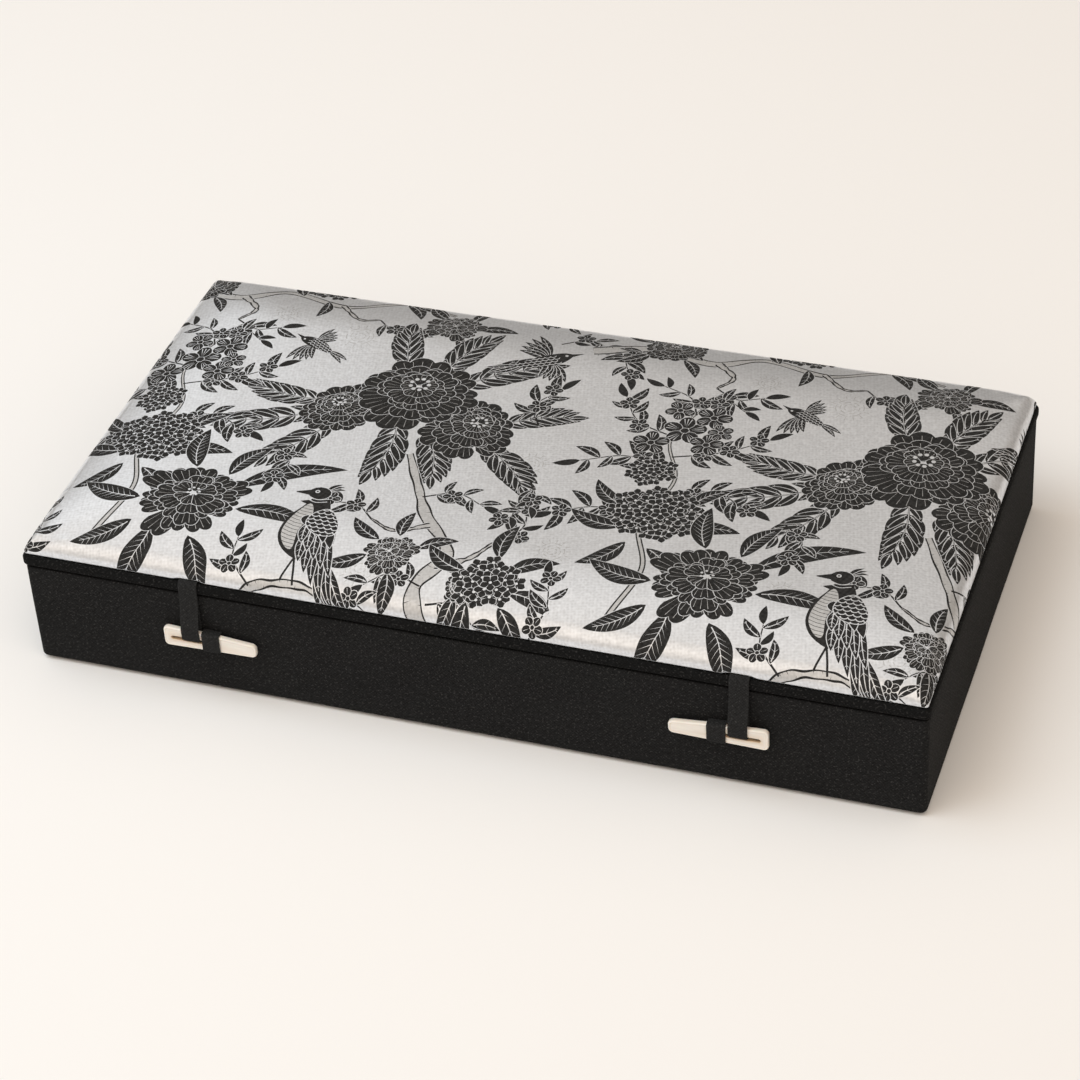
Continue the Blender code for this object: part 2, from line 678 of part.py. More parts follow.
def build_pad():
    """Card, foam and brocade of the padded top. The brocade turns in under the card."""
    half_x, half_y, corner = PAD_HALF_X, PAD_HALF_Y, PAD_CORNER_RADIUS
    hem = PAD_HEM_RADIUS
    rings = [pad_ring(half_x, half_y, corner, PAD_TURN_IN, 0.0)]
    hem_arc = arc_profile((hem, hem), hem, 270, 180)[:-1]
    rings += [pad_ring(half_x, half_y, corner, inset, height) for inset, height in hem_arc]
    rings += pad_surface(half_x, half_y, corner, PAD_ROLL_HEIGHT, hem)
    mesh = skin("brocade_cover", rings, False, True)
    brocade = add_piece("brocade_cover", mesh, "silver_brocade", (0, LID_CENTRE_Y, PAD_BASE_Z))
    thicken(brocade, BROCADE_CLOTH, -1)

    depth = BROCADE_DEPTH
    card_rings = [pad_ring(half_x - depth, half_y - depth, corner - depth, 0.0, z) for z in (0.0, PAD_CARD)]
    mesh = skin("pad_card", card_rings, True, True)
    card = add_piece("pad_card", mesh, "fibreboard", (0, LID_CENTRE_Y, PAD_CARD_Z))

    foam_base = FOAM_Z - PAD_BASE_Z
    back = depth + FOAM_SETBACK
    foam_rings = pad_surface(half_x - back, half_y - back, corner - back, PAD_ROLL_HEIGHT - depth, foam_base)
    foam_rings = [[Vector((x, y, z - foam_base)) for x, y, z in ring] for ring in foam_rings]
    mesh = skin("foam_pad", foam_rings, True, True)
    foam = add_piece("foam_pad", mesh, "pad_foam", (0, LID_CENTRE_Y, FOAM_Z))

    notch_top = (PAD_CARD_Z + PAD_CARD + FOAM_Z) / 2
    notch_bottom = LID_TOP_Z - SEAT_GAP
    tuck_end = LID_FRONT_Y + LID_EDGE_RADIUS + STRAP_TUCK + STRAP_NOTCH_MARGIN
    size = (STRAP_WIDTH + 2 * STRAP_NOTCH_MARGIN, tuck_end - LID_FRONT_Y, notch_top - notch_bottom)
    for name, side in (("strap_notch_left", -1), ("strap_notch_right", 1)):
        middle = (side * STRAP_X, (LID_FRONT_Y + tuck_end) / 2, (notch_top + notch_bottom) / 2)
        notch = add_cutter(name, block_mesh(name, size), middle)
        cut(brocade, notch)
        cut(card, notch)
    return [brocade, card, foam]


def build_lid():
    """Lid board, its cloth and the satin pad below it, which drops inside the tray's lining."""
    edge = LID_EDGE_RADIUS
    profile = folded_sheet_profile(LID_THICKNESS, edge, edge, LID_TURN_IN, LID_TURN_IN)
    mesh = skin("lid_cover_cloth", rings_from_profile(profile, LID_HALF_X, LID_HALF_Y, CORNER_RADIUS))
    cloth = add_piece("lid_cover_cloth", mesh, "black_cloth", (0, LID_CENTRE_Y, LID_BASE_Z))
    thicken(cloth, COVER_CLOTH, -1)

    depth = COVER_DEPTH
    inner_edge = edge - depth
    board_profile = arc_profile((inner_edge, inner_edge), inner_edge, 270, 180)
    board_profile += arc_profile((inner_edge, LID_BOARD - inner_edge), inner_edge, 180, 90)
    rings = rings_from_profile(board_profile, LID_HALF_X - depth, LID_HALF_Y - depth, CORNER_RADIUS - depth)
    mesh = skin("lid_board", rings, True, True)
    board = add_piece("lid_board", mesh, "fibreboard", (0, LID_CENTRE_Y, LID_BASE_Z + depth))

    half_x = INNER_X - LID_LINING_CLEARANCE
    half_y = INNER_Y - LID_LINING_CLEARANCE
    round_over = LID_LINING_EDGE_RADIUS
    pad_profile = arc_profile((round_over, round_over), round_over, 270, 180) + [(0.0, LID_LINING_PAD)]
    rings = rings_from_profile(pad_profile, half_x, half_y, CORNER_RADIUS)
    base_z = LID_BASE_Z - SEAT_GAP - LID_LINING_PAD
    mesh = skin("lid_lining_pad", rings, True, True)
    lining = add_piece("lid_lining_pad", mesh, "satin_lining", (0, 0, base_z))
    return [cloth, board, lining]


def build_hinge_cloth():
    """The strip of cloth that joins the back wall to the back edge of the lid."""
    half_x = HALF_LENGTH - HINGE_END_MARGIN
    near_y = HALF_WIDTH + SEAT_GAP
    top = LID_TOP_Z - LID_EDGE_RADIUS
    block(
        "hinge_cloth",
        "black_cloth",
        (-half_x, near_y, RIM_HEIGHT - HINGE_DROP),
        (half_x, near_y + HINGE_CLOTH, top),
    )


def hang_on_hinge(pieces):
    """Parent the lid's pieces to an empty on the hinge line, so that turning it opens the lid."""
    pivot = bpy.data.objects.new("lid_hinge_line", None)
    pivot.location = (0, HINGE_Y, HINGE_Z)
    make_collection("jewelry_casket").objects.link(pivot)
    bpy.context.view_layer.update()
    for piece in pieces:
        piece.parent = pivot
        piece.matrix_parent_inverse = pivot.matrix_world.inverted()


def main():
    """Build the casket, closed, with both toggles pushed through their keepers."""
    clear_scene()
    build_case_boards()
    build_case_cloth()
    build_lining()
    build_dividers()
    build_ring_rolls()
    build_keepers()
    build_hinge_cloth()
    lid_pieces = build_lid() + build_pad() + build_straps() + build_toggles()
    hang_on_hinge(lid_pieces)


if __name__ == "__main__":
    main()
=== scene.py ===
"""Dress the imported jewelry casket: brocade, book cloth, straps, bone toggles, satin lining and a stage."""

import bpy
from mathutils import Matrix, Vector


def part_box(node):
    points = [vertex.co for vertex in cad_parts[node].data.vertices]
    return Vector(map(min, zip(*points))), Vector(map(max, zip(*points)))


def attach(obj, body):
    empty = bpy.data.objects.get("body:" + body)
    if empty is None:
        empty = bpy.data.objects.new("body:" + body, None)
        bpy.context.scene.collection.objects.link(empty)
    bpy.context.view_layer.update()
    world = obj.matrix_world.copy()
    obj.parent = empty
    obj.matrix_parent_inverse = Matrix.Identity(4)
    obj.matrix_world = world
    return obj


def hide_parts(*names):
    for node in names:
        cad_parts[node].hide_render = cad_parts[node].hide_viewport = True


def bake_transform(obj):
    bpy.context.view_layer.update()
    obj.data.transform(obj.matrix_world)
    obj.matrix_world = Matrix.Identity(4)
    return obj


bl_info = {
    "name": "Jewelry Casket",
    "version": (1, 0, 0),
    "blender": (4, 5, 0),
    "location": "View3D > Sidebar > Casket",
    "description": "Makes the cloth, brocade, bone and satin of a jewelry casket around its packed solids",
    "category": "Object",
}

import copy
import math
from functools import partial

import bpy
import numpy as np
from bpy.props import FloatProperty, FloatVectorProperty, IntProperty, PointerProperty
from mathutils import Matrix, Vector
from mathutils.bvhtree import BVHTree
from mathutils.geometry import delaunay_2d_cdt

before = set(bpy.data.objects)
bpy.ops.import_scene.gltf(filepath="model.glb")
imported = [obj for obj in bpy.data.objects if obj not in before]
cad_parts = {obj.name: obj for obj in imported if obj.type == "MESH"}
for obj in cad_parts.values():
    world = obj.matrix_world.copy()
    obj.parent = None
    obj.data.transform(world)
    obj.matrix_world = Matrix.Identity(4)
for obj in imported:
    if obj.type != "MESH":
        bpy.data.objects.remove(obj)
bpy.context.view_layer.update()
MM = 0.001

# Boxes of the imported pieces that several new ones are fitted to, and which way each side lies along X
TRAY_LOW, TRAY_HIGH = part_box("body_cover_cloth")
LID_LOW, LID_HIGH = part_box("lid_cover_cloth")
PAD_LOW, PAD_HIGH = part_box("brocade_cover")
SIDES = {"left": -1, "right": 1}

# Threads of the brocade, in the order of its material slots
SILVER, FIGURE, PALE, GHOST = range(4)

# Bare ground left round leaves and petals, a spray's stem, and its small flowers' radius, in the drawing's
# millimetres, and the share of a spray's named leaf length that its leaves are drawn at
LEAF_GAP, PETAL_GAP = 0.3, 0.28
SPRAY_STEM, SPRAY_FLOWER, SPRAY_LEAF = 0.9, 4.6, 0.96


# Lines and outlines

def turned(points, angle):
    """Points of a flat figure turned anticlockwise round its root."""
    cosine, sine = math.cos(angle), math.sin(angle)
    return np.asarray(points, float) @ np.array(((cosine, sine), (-sine, cosine)))


def toward(angle):
    """The unit step in a direction, for one angle or for an array of them."""
    return np.stack((np.cos(angle), np.sin(angle)), -1)


def circle(count):
    """Unit steps in evenly spread directions."""
    return toward(np.linspace(0, 2 * math.pi, count, endpoint=False))


def right_of(steps):
    """Flat steps turned a quarter clockwise."""
    return np.stack((steps[:, 1], -steps[:, 0]), 1)


def unit_steps(steps):
    """Steps made one unit long."""
    return steps / np.linalg.norm(steps, axis=1, keepdims=True)


def lengths_along(points):
    """How far along a line each of its points lies."""
    return np.concatenate(((0,), np.cumsum(np.linalg.norm(np.diff(points, axis=0), axis=1))))


def through(points, count, closed=False):
    """A smooth line through a few points: cubics whose slope at a point runs between its neighbours."""
    points = np.asarray(points, float)
    if closed:
        ends = np.vstack((points[-1], points, points[0], points[1]))
    else:
        ends = np.vstack((2 * points[0] - points[1], points, 2 * points[-1] - points[-2]))
    pieces = len(ends) - 3
    place = np.linspace(0, pieces, count, endpoint=not closed)
    index = np.minimum(place.astype(int), pieces - 1)
    t = (place - index)[:, None]
    a, b, c, d = (ends[index + step] for step in range(4))
    return 0.5 * (2 * b + (c - a) * t + (2 * a - 5 * b + 4 * c - d) * t**2 + (3 * b - a - 3 * c + d) * t**3)


def band(path, width):
    """A line given its width: the points on its right, then back along its left."""
    side = right_of(unit_steps(np.gradient(path, axis=0))) * np.broadcast_to(width, len(path))[:, None] / 2
    return np.vstack((path + side, (path - side)[::-1]))


def tapered(path, start, end):
    """A line whose width changes evenly along it."""
    return band(path, np.linspace(start, end, len(path)))


def grown(points, distance):
    """An anticlockwise outline moved outwards along its own normals."""
    along = np.roll(points, -1, 0) - np.roll(points, 1, 0)
    along /= np.maximum(np.linalg.norm(along, axis=1, keepdims=True), 1e-9)
    return points + distance * right_of(along)


# Figures of the brocade

class ClothDrawing:
    """Figures on flat cloth, in millimetres, each woven over the ones before it.

    A figure has an outline, a thread, and maybe an earlier figure that it stays inside. Each repeat starts
    the random numbers anew, so that all are alike."""

    def __init__(self):
        self.outlines, self.threads, self.inside = [], [], []
        self.matrix = np.eye(3)
        self.random = None

    def placed(self, x, y, turn=0.0, size=1.0, flip=1):
        """The same drawing seen from a place on it: what is added there is turned, scaled and flipped."""
        child = copy.copy(self)
        cosine, sine = size * math.cos(turn), size * math.sin(turn)
        placing = np.array(((cosine * flip, -sine, x), (sine * flip, cosine, y), (0, 0, 1)))
        child.matrix = self.matrix @ placing
        return child

    def add(self, points, thread, inside=None):
        """Weave one figure and give its number."""
        points = np.asarray(points, float) @ self.matrix[:2, :2].T + self.matrix[:2, 2]
        following = np.roll(points, -1, 0)
        if np.sum(points[:, 0] * following[:, 1] - points[:, 1] * following[:, 0]) < 0:
            points = points[::-1]
        self.outlines.append(points)
        self.threads.append(thread)
        self.inside.append(inside)
        return len(self.outlines) - 1

    def add_apart(self, points, gap=PETAL_GAP):
        """Weave a dark anticlockwise figure with bare ground round it, and give its number."""
        self.add(grown(points, gap), SILVER)
        return self.add(points, FIGURE)


def leaf(cloth, root, angle, length, width, bend=0.1, veins=5):
    """A pointed leaf in a gap of bare ground, with a light rib and veins. Its half width is a skewed sine."""
    t = np.linspace(0, 1, 15 if veins else 9)
    half = width / 2 * np.sin(np.pi * t**0.85) ** 0.85
    spine = np.stack((t * length, 4 * bend * length * t * (1 - t)), 1)
    rise = np.stack((np.zeros_like(half), half), 1)
    outline = np.vstack((spine - rise, (spine + rise)[-2:0:-1]))
    cloth.add(turned(grown(outline, LEAF_GAP), angle) + root, SILVER)
    body = cloth.add(turned(outline, angle) + root, FIGURE)
    if not veins:
        return
    cloth.add(turned(tapered(spine[1:-2], 0.5, 0.2), angle) + root, SILVER, body)
    for share in np.linspace(0.14, 0.78, veins):
        start = np.array((share * length, 4 * bend * length * share * (1 - share)))
        reach = width / 2 * math.sin(math.pi * share**0.85) ** 0.85
        for side in (-1, 1):
            tip = start + (0.9 * reach, side * 0.92 * reach)
            vein = np.array((start - (0.16, 0), start + (0.16, 0), tip))
            cloth.add(turned(vein, angle) + root, SILVER, body)


def frond(cloth, root, angle, length, width, bend=0.1, pairs=6):
    """A feathered leaf: pairs of leaflets along a bent midrib, longest in its middle, and one at its tip."""
    stem = cloth.placed(*root, angle)
    share = np.linspace(0, 1, 20)
    path = np.stack((share * length, 4 * bend * length * share * (1 - share)), 1)
    for pair in reversed(range(pairs)):
        place = 0.1 + 0.76 * pair / (pairs - 1)
        at = (place * length, 4 * bend * length * place * (1 - place))
        lean = 0.62 - 0.25 * place
        long = width * (0.42 + 0.5 * math.sin(math.pi * place**0.8))
        for side in (-1, 1):
            leaf(stem, at, side * lean + 2.4 * bend * (0.5 - place), long, 0.36 * long, side * 0.08, 2)
    leaf(stem, path[-2], -1.6 * bend, 0.62 * width, 0.24 * width, 0.0, 2)
    stem.add(tapered(path[:-1], 1.0, 0.45), FIGURE)
    stem.add(tapered(path[:-3], 0.4, 0.2), SILVER)


def petal(cloth, angle, inner, outer, spread, squash, rays, lobes):
    """One petal of a bloom: a fan whose outer edge is a row of round lobes, with light rim and fine rays."""
    share = np.linspace(-0.5, 0.5, 19)
    scallop = 0.9 + 0.1 * np.abs(np.sin(np.pi * lobes * (share + 0.5))) ** 0.7
    reach = outer * (1 - 0.2 * np.abs(2 * share) ** 3) * scallop
    arc = reach[:, None] * toward(angle + spread * share)
    base = inner * toward(angle + spread * np.array((0.3, -0.3)))
    body = cloth.add_apart(np.vstack((arc, base)) * (1, squash))
    for number, share in enumerate((np.arange(rays) + 0.5) / rays - 0.5):
        direction = angle + 0.9 * spread * share
        start = 0.2 + 0.16 * (number % 2)
        tip = (inner + start * (outer - inner)) * toward(direction)
        wide = 0.13 / outer
        ends = (0.9 - 0.1 * abs(2 * share) ** 3) * outer * toward(direction + np.array((-wide, wide)))
        cloth.add(np.vstack((tip, ends)) * (1, squash), PALE, body)


def bloom(cloth, radius, rows, squash, lean, rays, lobes, loose):
    """A full flower seen a little from the side: rows of petals, each further in and further up."""
    for row, (outer, inner, count) in enumerate(rows):
        at = cloth.placed(0, lean * radius * (1 - outer))
        for index in range(count):
            angle = 2 * math.pi * (index + 0.5 * (row % 2) + cloth.random.uniform(-loose, loose)) / count
            reach = radius * outer * cloth.random.uniform(1 - 0.7 * loose, 1 + 0.7 * loose)
            petal(at, angle, radius * inner, reach, 2 * math.pi / count * 1.25, squash, rays, lobes)


# Rows of petals from the outside in: outer and inner end as shares of the flower's radius, and their count
PEONY = ((1.0, 0.35, 7), (0.84, 0.26, 6), (0.68, 0.2, 6), (0.5, 0.13, 5), (0.33, 0.05, 4))
DAISY = ((1.0, 0.3, 12), (0.8, 0.2, 11), (0.6, 0.14, 8), (0.38, 0.06, 6))


def stamens(cloth, radius, count):
    """A ring of light dots at a flower's heart."""
    for index in range(count):
        spot = radius * toward(2 * math.pi * index / count)
        cloth.add(spot + 0.26 * radius * circle(6), SILVER)


def peony(cloth, radius):
    """A peony: five rows of broad ruffled petals round a cup with light stamens."""
    bloom(cloth, radius, PEONY, squash=0.84, lean=0.36, rays=7, lobes=3, loose=0.24)
    stamens(cloth.placed(0, 0.29 * radius), 0.14 * radius, 9)


def star_daisy(cloth, radius):
    """A many-petalled flower with narrow rows that don't lie quite evenly."""
    bloom(cloth, radius, DAISY, squash=0.86, lean=0.26, rays=4, lobes=2, loose=0.26)
    stamens(cloth.placed(0, 0.2 * radius), 0.1 * radius, 7)


def blossom(cloth, radius, rays):
    """A small open flower: five round petals apart from each other, and a light heart."""
    for index in range(5):
        angle = 2 * math.pi * index / 5 + 0.3
        oval = turned(circle(12) * radius * (0.42, 0.36), angle)
        body = cloth.add_apart(0.58 * radius * toward(angle) + oval)
        for share in (np.arange(rays) + 0.5) / rays - 0.5:
            tip = 0.3 * radius * toward(angle + 0.4 * share)
            ends = 0.86 * radius * toward(angle + 0.6 * share + np.array((-0.03, 0.03)))
            cloth.add(np.vstack((tip, ends)), SILVER, body)
    cloth.add_apart(0.2 * radius * circle(12)[::2], 0.3)


def floret_head(cloth, width, height, count, floret):
    """A round head of small five-lobed florets, placed by the golden angle and laid one over another."""
    golden = math.pi * (3 - math.sqrt(5))
    turn = np.linspace(0, 2 * math.pi, 20, endpoint=False)
    for index in reversed(range(count)):
        middle = math.sqrt((index + 0.4) / count) * toward(index * golden) * (width, height)
        lobes = floret * (0.84 + 0.16 * np.cos(5 * turn + index))
        body = cloth.add_apart(middle + lobes[:, None] * toward(turn), 0.27)
        for part in range(5):
            direction = (2 * math.pi * (part + 0.5) - index) / 5
            ends = 0.92 * floret * toward(direction + np.array((-0.06, 0.06)))
            cloth.add(middle + np.vstack((0.25 * floret * toward(direction), ends)), SILVER, body)
        cloth.add(middle + 0.16 * floret * toward(turn[::3]), SILVER, body)


def spray(cloth, points, leaves, length, flowers):
    """A thin twig with leaves by turns on either side, a leaf at its tip, and maybe small flowers."""
    length *= SPRAY_LEAF
    path = through(points, 26)
    cloth.add(tapered(path, SPRAY_STEM, 0.5), FIGURE)
    slope = np.gradient(path, axis=0)
    headings = np.arctan2(slope[:, 1], slope[:, 0])
    for index, place in enumerate(np.linspace(5, 23, leaves).astype(int)):
        side = 1 if index % 2 else -1
        long = length * cloth.random.uniform(0.8, 1.2)
        turn = headings[place] + side * cloth.random.uniform(0.7, 1.0)
        leaf(cloth, path[place], turn, long, 0.36 * long, side * 0.1, 3 if long > 9.5 else 0)
    leaf(cloth, path[-1], headings[-1], length, 0.34 * length, 0.06, 0)
    for place in np.linspace(9, 24, flowers).astype(int):
        offset = cloth.random.uniform(-3.4, 3.4, 2)
        blossom(cloth.placed(*(path[place] + offset), cloth.random.uniform(0, 6)), SPRAY_FLOWER, 1)


def bough(cloth, points, thick, thin):
    """A woody branch: a dark line wider and narrower along its way, a pale middle and ticks of bark."""
    path = through(points, 60)
    share = np.linspace(0, 1, len(path))
    width = (thick + (thin - thick) * share) * (1 + 0.14 * np.sin(23 * share) + 0.08 * np.sin(51 * share))
    cloth.add(band(path, width + 0.7), SILVER)
    cloth.add(band(path, width), FIGURE)
    middle = cloth.add(band(path, np.maximum(width - 1.5 - 0.4 * np.sin(31 * share), 0.3)), PALE)
    along = unit_steps(np.gradient(path, axis=0))
    left = -right_of(along)
    for place in range(1, 59):
        side = 1 if place % 4 else -1
        reach = left[place] * width[place] / 2 * side
        tip = path[place] + (0.55 - 0.5 * (place % 3 == 0)) * reach + along[place] * 0.8
        tick = np.array((path[place] + reach, path[place] + reach + along[place] * 0.4, tip))
        cloth.add(tick, FIGURE, middle)


def scales(cloth, low, high, pitch, inside):
    """Rows of light crescents over a bird's body, kept inside it."""
    turn = np.radians(np.linspace(195, 345, 5))
    outer, inner = 0.62 * pitch * toward(turn), 0.5 * pitch * toward(turn[::-1]) + (0, 0.05 * pitch)
    crescent = np.vstack((outer, inner))
    for row, y in enumerate(np.arange(low[1], high[1], 0.72 * pitch)):
        for x in np.arange(low[0] + 0.5 * pitch * (row % 2), high[0], pitch):
            cloth.add(crescent + (x, y), SILVER, inside)


def perched_bird(cloth):
    """A long-tailed bird that stands on its bough and looks back, 45 mm from foot to crown."""
    for angle, length in ((-1.3, 30), (-1.14, 37), (-0.98, 33)):
        leaf(cloth, (8, 8), angle, length, 4.2, 0.04, 9)
    for foot in ((-2, -5), (3, -6)):
        cloth.add(band(through(((0, 5), (foot[0] * 0.6, -1), foot), 8), 0.8), FIGURE)
    body = through(((9, 7), (11.5, 14), (9, 23), (4.5, 30), (1.5, 36), (-4, 37), (-6.5, 31), (-9.5, 24),
                    (-10, 15), (-6, 8), (2, 4)), 44, True)
    cloth.add(grown(body[::-1], 0.4), SILVER)
    torso = cloth.add(body, FIGURE)
    breast = ((-4.6, 33), (-1.5, 27), (-3.4, 18), (-2.5, 9), (-5.6, 9.4), (-9, 15.5), (-8.4, 24))
    pale = cloth.add(through(breast, 30, True), PALE, torso)
    for level in np.arange(9.5, 32, 1.7):
        cloth.add(band(np.array(((-9, level + 1.0), (-6, level), (-2, level - 0.4))), 0.22), FIGURE, pale)
    for row, (x, y, length, count) in enumerate(((10.5, 12, 27, 5), (8.5, 17, 19, 5), (6.5, 22, 11, 5))):
        for index in range(count):
            root = (x - 2.6 * index + 0.5 * row, y + 1.1 * index)
            size = length * (1 - 0.13 * index)
            leaf(cloth, root, -1.24 - 0.05 * index, size, 3.5, -0.03, 4 if row < 2 else 0)
    shoulder = through(((4, 31), (9.5, 24), (9.5, 18), (3, 17.5), (-2, 22), (-1, 28)), 24, True)
    cloth.add(grown(shoulder[::-1], 0.36), SILVER)
    scales(cloth, (-3, 16), (11, 32), 2.7, cloth.add(shoulder, FIGURE))
    for angle in (0.3, 0.58, 0.86):
        leaf(cloth, (-1.5, 41), angle, 7.0, 1.4, 0.12, 0)
    cloth.add_apart((-3.4, 39.4) + circle(14) * (4.2, 3.6), 0.3)
    cloth.add(((-7.0, 40.8), (-12.2, 38.6), (-12.0, 38.1), (-6.4, 37.6)), FIGURE)
    for radius, thread in ((0.95, SILVER), (0.45, FIGURE)):
        cloth.add((-4.6, 40.2) + radius * circle(14)[::2], thread)
    for level in (36.8, 35.2):
        cloth.add(band(through(((-6.4, level), (-3, level - 1.2), (1, level)), 7), 0.35), SILVER)


def flying_bird(cloth):
    """A small bird in flight with fanned wings and a forked tail, 40 mm across."""
    for angle in (2.95, 3.25):
        leaf(cloth, (-9, 1), angle, 14, 3.0, 0.06, 5)
    for step in range(5):
        leaf(cloth, (1.5, 2), 1.55 + 0.2 * step, 20 - 1.5 * step, 3.8, -0.08, 5)
        leaf(cloth, (2, 0), -1.35 - 0.22 * step, 15 - 1.2 * step, 3.4, 0.08, 4)
    body = through(((12, 3.0), (8, 5.6), (-1, 5), (-12, 1.4), (-3, -2.6), (7, -1.4)), 30, True)
    scales(cloth, (-12, -2), (6, 6), 2.3, cloth.add(body, FIGURE))
    cloth.add(((11.2, 4.0), (16.6, 3.0), (11.4, 1.8)), FIGURE)
    cloth.add((9.4, 3.2) + 0.7 * circle(8), SILVER)


def ghost_rosette(cloth, radius):
    """A faint figure of the ground thread: broken rings and short rays."""
    for ring in (0.35, 0.62, 0.9):
        for part in range(6):
            turn = 2 * math.pi * (part + ring) / 6 + np.linspace(0, 0.7, 7)
            cloth.add(band(radius * ring * toward(turn), 0.5), GHOST)
    for part in range(14):
        start = 2 * math.pi * part / 14 + 0.2
        path = np.linspace(1.0, 1.35, 3)[:, None] * radius * toward(np.full(3, start))
        cloth.add(band(path, 0.4), GHOST)


# Where the figures of one repeat lie: x runs right and y towards the hinge

def leaves(cloth, share, bend, veins, *rows):
    """Leaves from rows of root, angle and length, each as wide as a share of its length."""
    for root, angle, length in rows:
        leaf(cloth, root, angle, length, share * length, bend, veins)


def sprays(cloth, *rows):
    """Sprays from rows of twig, count and length of leaves, and count of flowers."""
    for row in rows:
        spray(cloth, *row)


def draw_hinge_side(cloth):
    """The branch along the hinge side, with a daisy and a peony on it."""
    bough(cloth, ((-120, 82), (-94, 92), (-64, 86), (-42, 97), (-12, 90), (14, 103), (40, 97)), 6.6, 2.2)
    bough(cloth, ((-62, 87), (-52, 76), (-57, 66)), 4.0, 1.4)
    bough(cloth, ((-14, 91), (-2, 80), (8, 82)), 3.0, 1.2)
    sprays(
        cloth,
        (((-57, 66), (-46, 60), (-34, 64)), 5, 12, 1), (((-94, 92), (-103, 80), (-98, 66)), 6, 12, 2),
        (((8, 82), (18, 74), (30, 78)), 5, 12, 1), (((76, 112), (92, 106), (106, 110)), 5, 12, 1),
    )
    leaves(
        cloth, 0.34, 0.12, 4,
        ((-40, 97), 0.9, 19), ((-36, 96), 1.8, 17), ((14, 103), -0.9, 19), ((20, 101), -0.3, 18),
        ((-70, 88), 2.2, 17), ((-22, 93), -1.6, 16),
    )
    floret_head(cloth.placed(-24, 106), 11, 8, 15, 4.2)
    leaves(
        cloth, 0.34, 0.1, 5,
        ((54, 86), 0.1, 20), ((50, 93), 1.2, 17), ((38, 92), 2.3, 18),
        ((36, 80), -2.5, 21), ((48, 76), -1.1, 19),
        ((-74, 102), 0.8, 18), ((-96, 100), 2.6, 19), ((-94, 88), -2.4, 18), ((-78, 86), -1.0, 17),
    )
    star_daisy(cloth.placed(44, 85, 0.3), 13)
    peony(cloth.placed(-84, 96, 0.4), 15)
    spray(cloth, ((96, 84), (108, 92), (118, 86)), 6, 11, 2)


def draw_tree(cloth):
    """The tree that climbs from the front, its twigs and the two flowers at its foot."""
    bough(cloth, ((100, -124), (90, -98), (97, -76), (80, -54), (70, -36), (58, -14)), 8.4, 3.6)
    bough(cloth, ((94, -84), (107, -77), (115, -64)), 4.2, 1.8)
    bough(cloth, ((84, -60), (70, -67), (58, -62)), 3.4, 1.4)
    sprays(
        cloth,
        (((115, -64), (123, -52), (120, -36)), 6, 12, 2), (((58, -62), (48, -54), (34, -56)), 6, 11, 2),
        (((92, -96), (78, -92), (68, -100)), 5, 12, 1), (((74, -42), (88, -36), (102, -42)), 6, 12, 1),
        (((97, -104), (110, -102), (120, -110)), 4, 12, 1),
    )
    leaves(
        cloth, 0.36, 0.1, 5,
        ((84, -76), 0.5, 18), ((66, -74), 2.5, 19), ((64, -84), -2.7, 20), ((76, -92), -1.5, 20),
        ((74, -70), 1.5, 17), ((118, -90), 0.3, 17), ((108, -98), -1.9, 18), ((106, -86), 2.4, 16),
    )
    star_daisy(cloth.placed(74, -81, 0.8), 12)
    peony(cloth.placed(112, -92, 2.2), 11)


def draw_peonies(cloth):
    """The three great peonies on their fronds."""
    for root, angle, length, width in (
        ((62, 38), 0.6, 44, 17), ((52, 44), 1.2, 36, 16), ((38, 44), 1.9, 34, 15), ((6, 15), 3.0, 34, 14),
        ((8, 8), -2.75, 48, 16), ((16, 2), -2.15, 44, 16), ((44, 8), -1.55, 40, 17), ((58, 4), -1.15, 36, 15),
        ((86, 0), -0.75, 38, 16), ((90, 16), 0.4, 32, 14),
    ):
        frond(cloth, root, angle, length, 1.05 * width, 0.08)
    peony(cloth.placed(76, 10, -0.6), 24)
    peony(cloth.placed(17, 11, 0.7), 20)
    peony(cloth.placed(45, 28, 0.1), 30)


def draw_floret_stem(cloth):
    """The tall stem with its sprays, open blossoms and two heads of florets."""
    stem = through(((-58, -96), (-52, -66), (-62, -36), (-56, -4), (-66, 24), (-58, 52)), 60)
    cloth.add(tapered(stem, 3.0, 1.2), FIGURE)
    cloth.add(tapered(stem, 1.6, 0.4), PALE)
    sprays(
        cloth,
        (((-62, -36), (-82, -30), (-100, -38)), 8, 13, 2), (((-58, -14), (-38, -8), (-20, -16)), 8, 13, 2),
        (((-57, 0), (-80, 8), (-100, 0)), 8, 13, 1), (((-62, 12), (-42, 20), (-24, 34)), 8, 12, 3),
        (((-65, 26), (-84, 34), (-94, 50)), 7, 12, 2), (((-60, 44), (-66, 56), (-80, 62)), 5, 11, 1),
        (((-58, 50), (-50, 58), (-40, 52)), 4, 10, 1),
    )
    blooms = ((-62, 32, 10), (-74, 20, 8.5), (-50, 24, 8), (-52, 44, 8.5), (-68, 46, 7), (-46, 34, 6))
    for x, y, size in blooms:
        blossom(cloth.placed(x, y, 0.1 * x), size, 3)
    leaves(
        cloth, 0.34, 0.12, 6,
        ((-68, -40), 2.9, 26), ((-44, -38), 0.2, 26), ((-64, -50), -2.3, 25), ((-72, -26), 2.4, 22),
        ((-44, -20), 0.8, 20), ((-54, -52), -0.9, 22),
    )
    floret_head(cloth.placed(-57, -28), 19.5, 16, 46, 4.4)
    floret_head(cloth.placed(-68, 0), 10, 8.5, 17, 3.7)


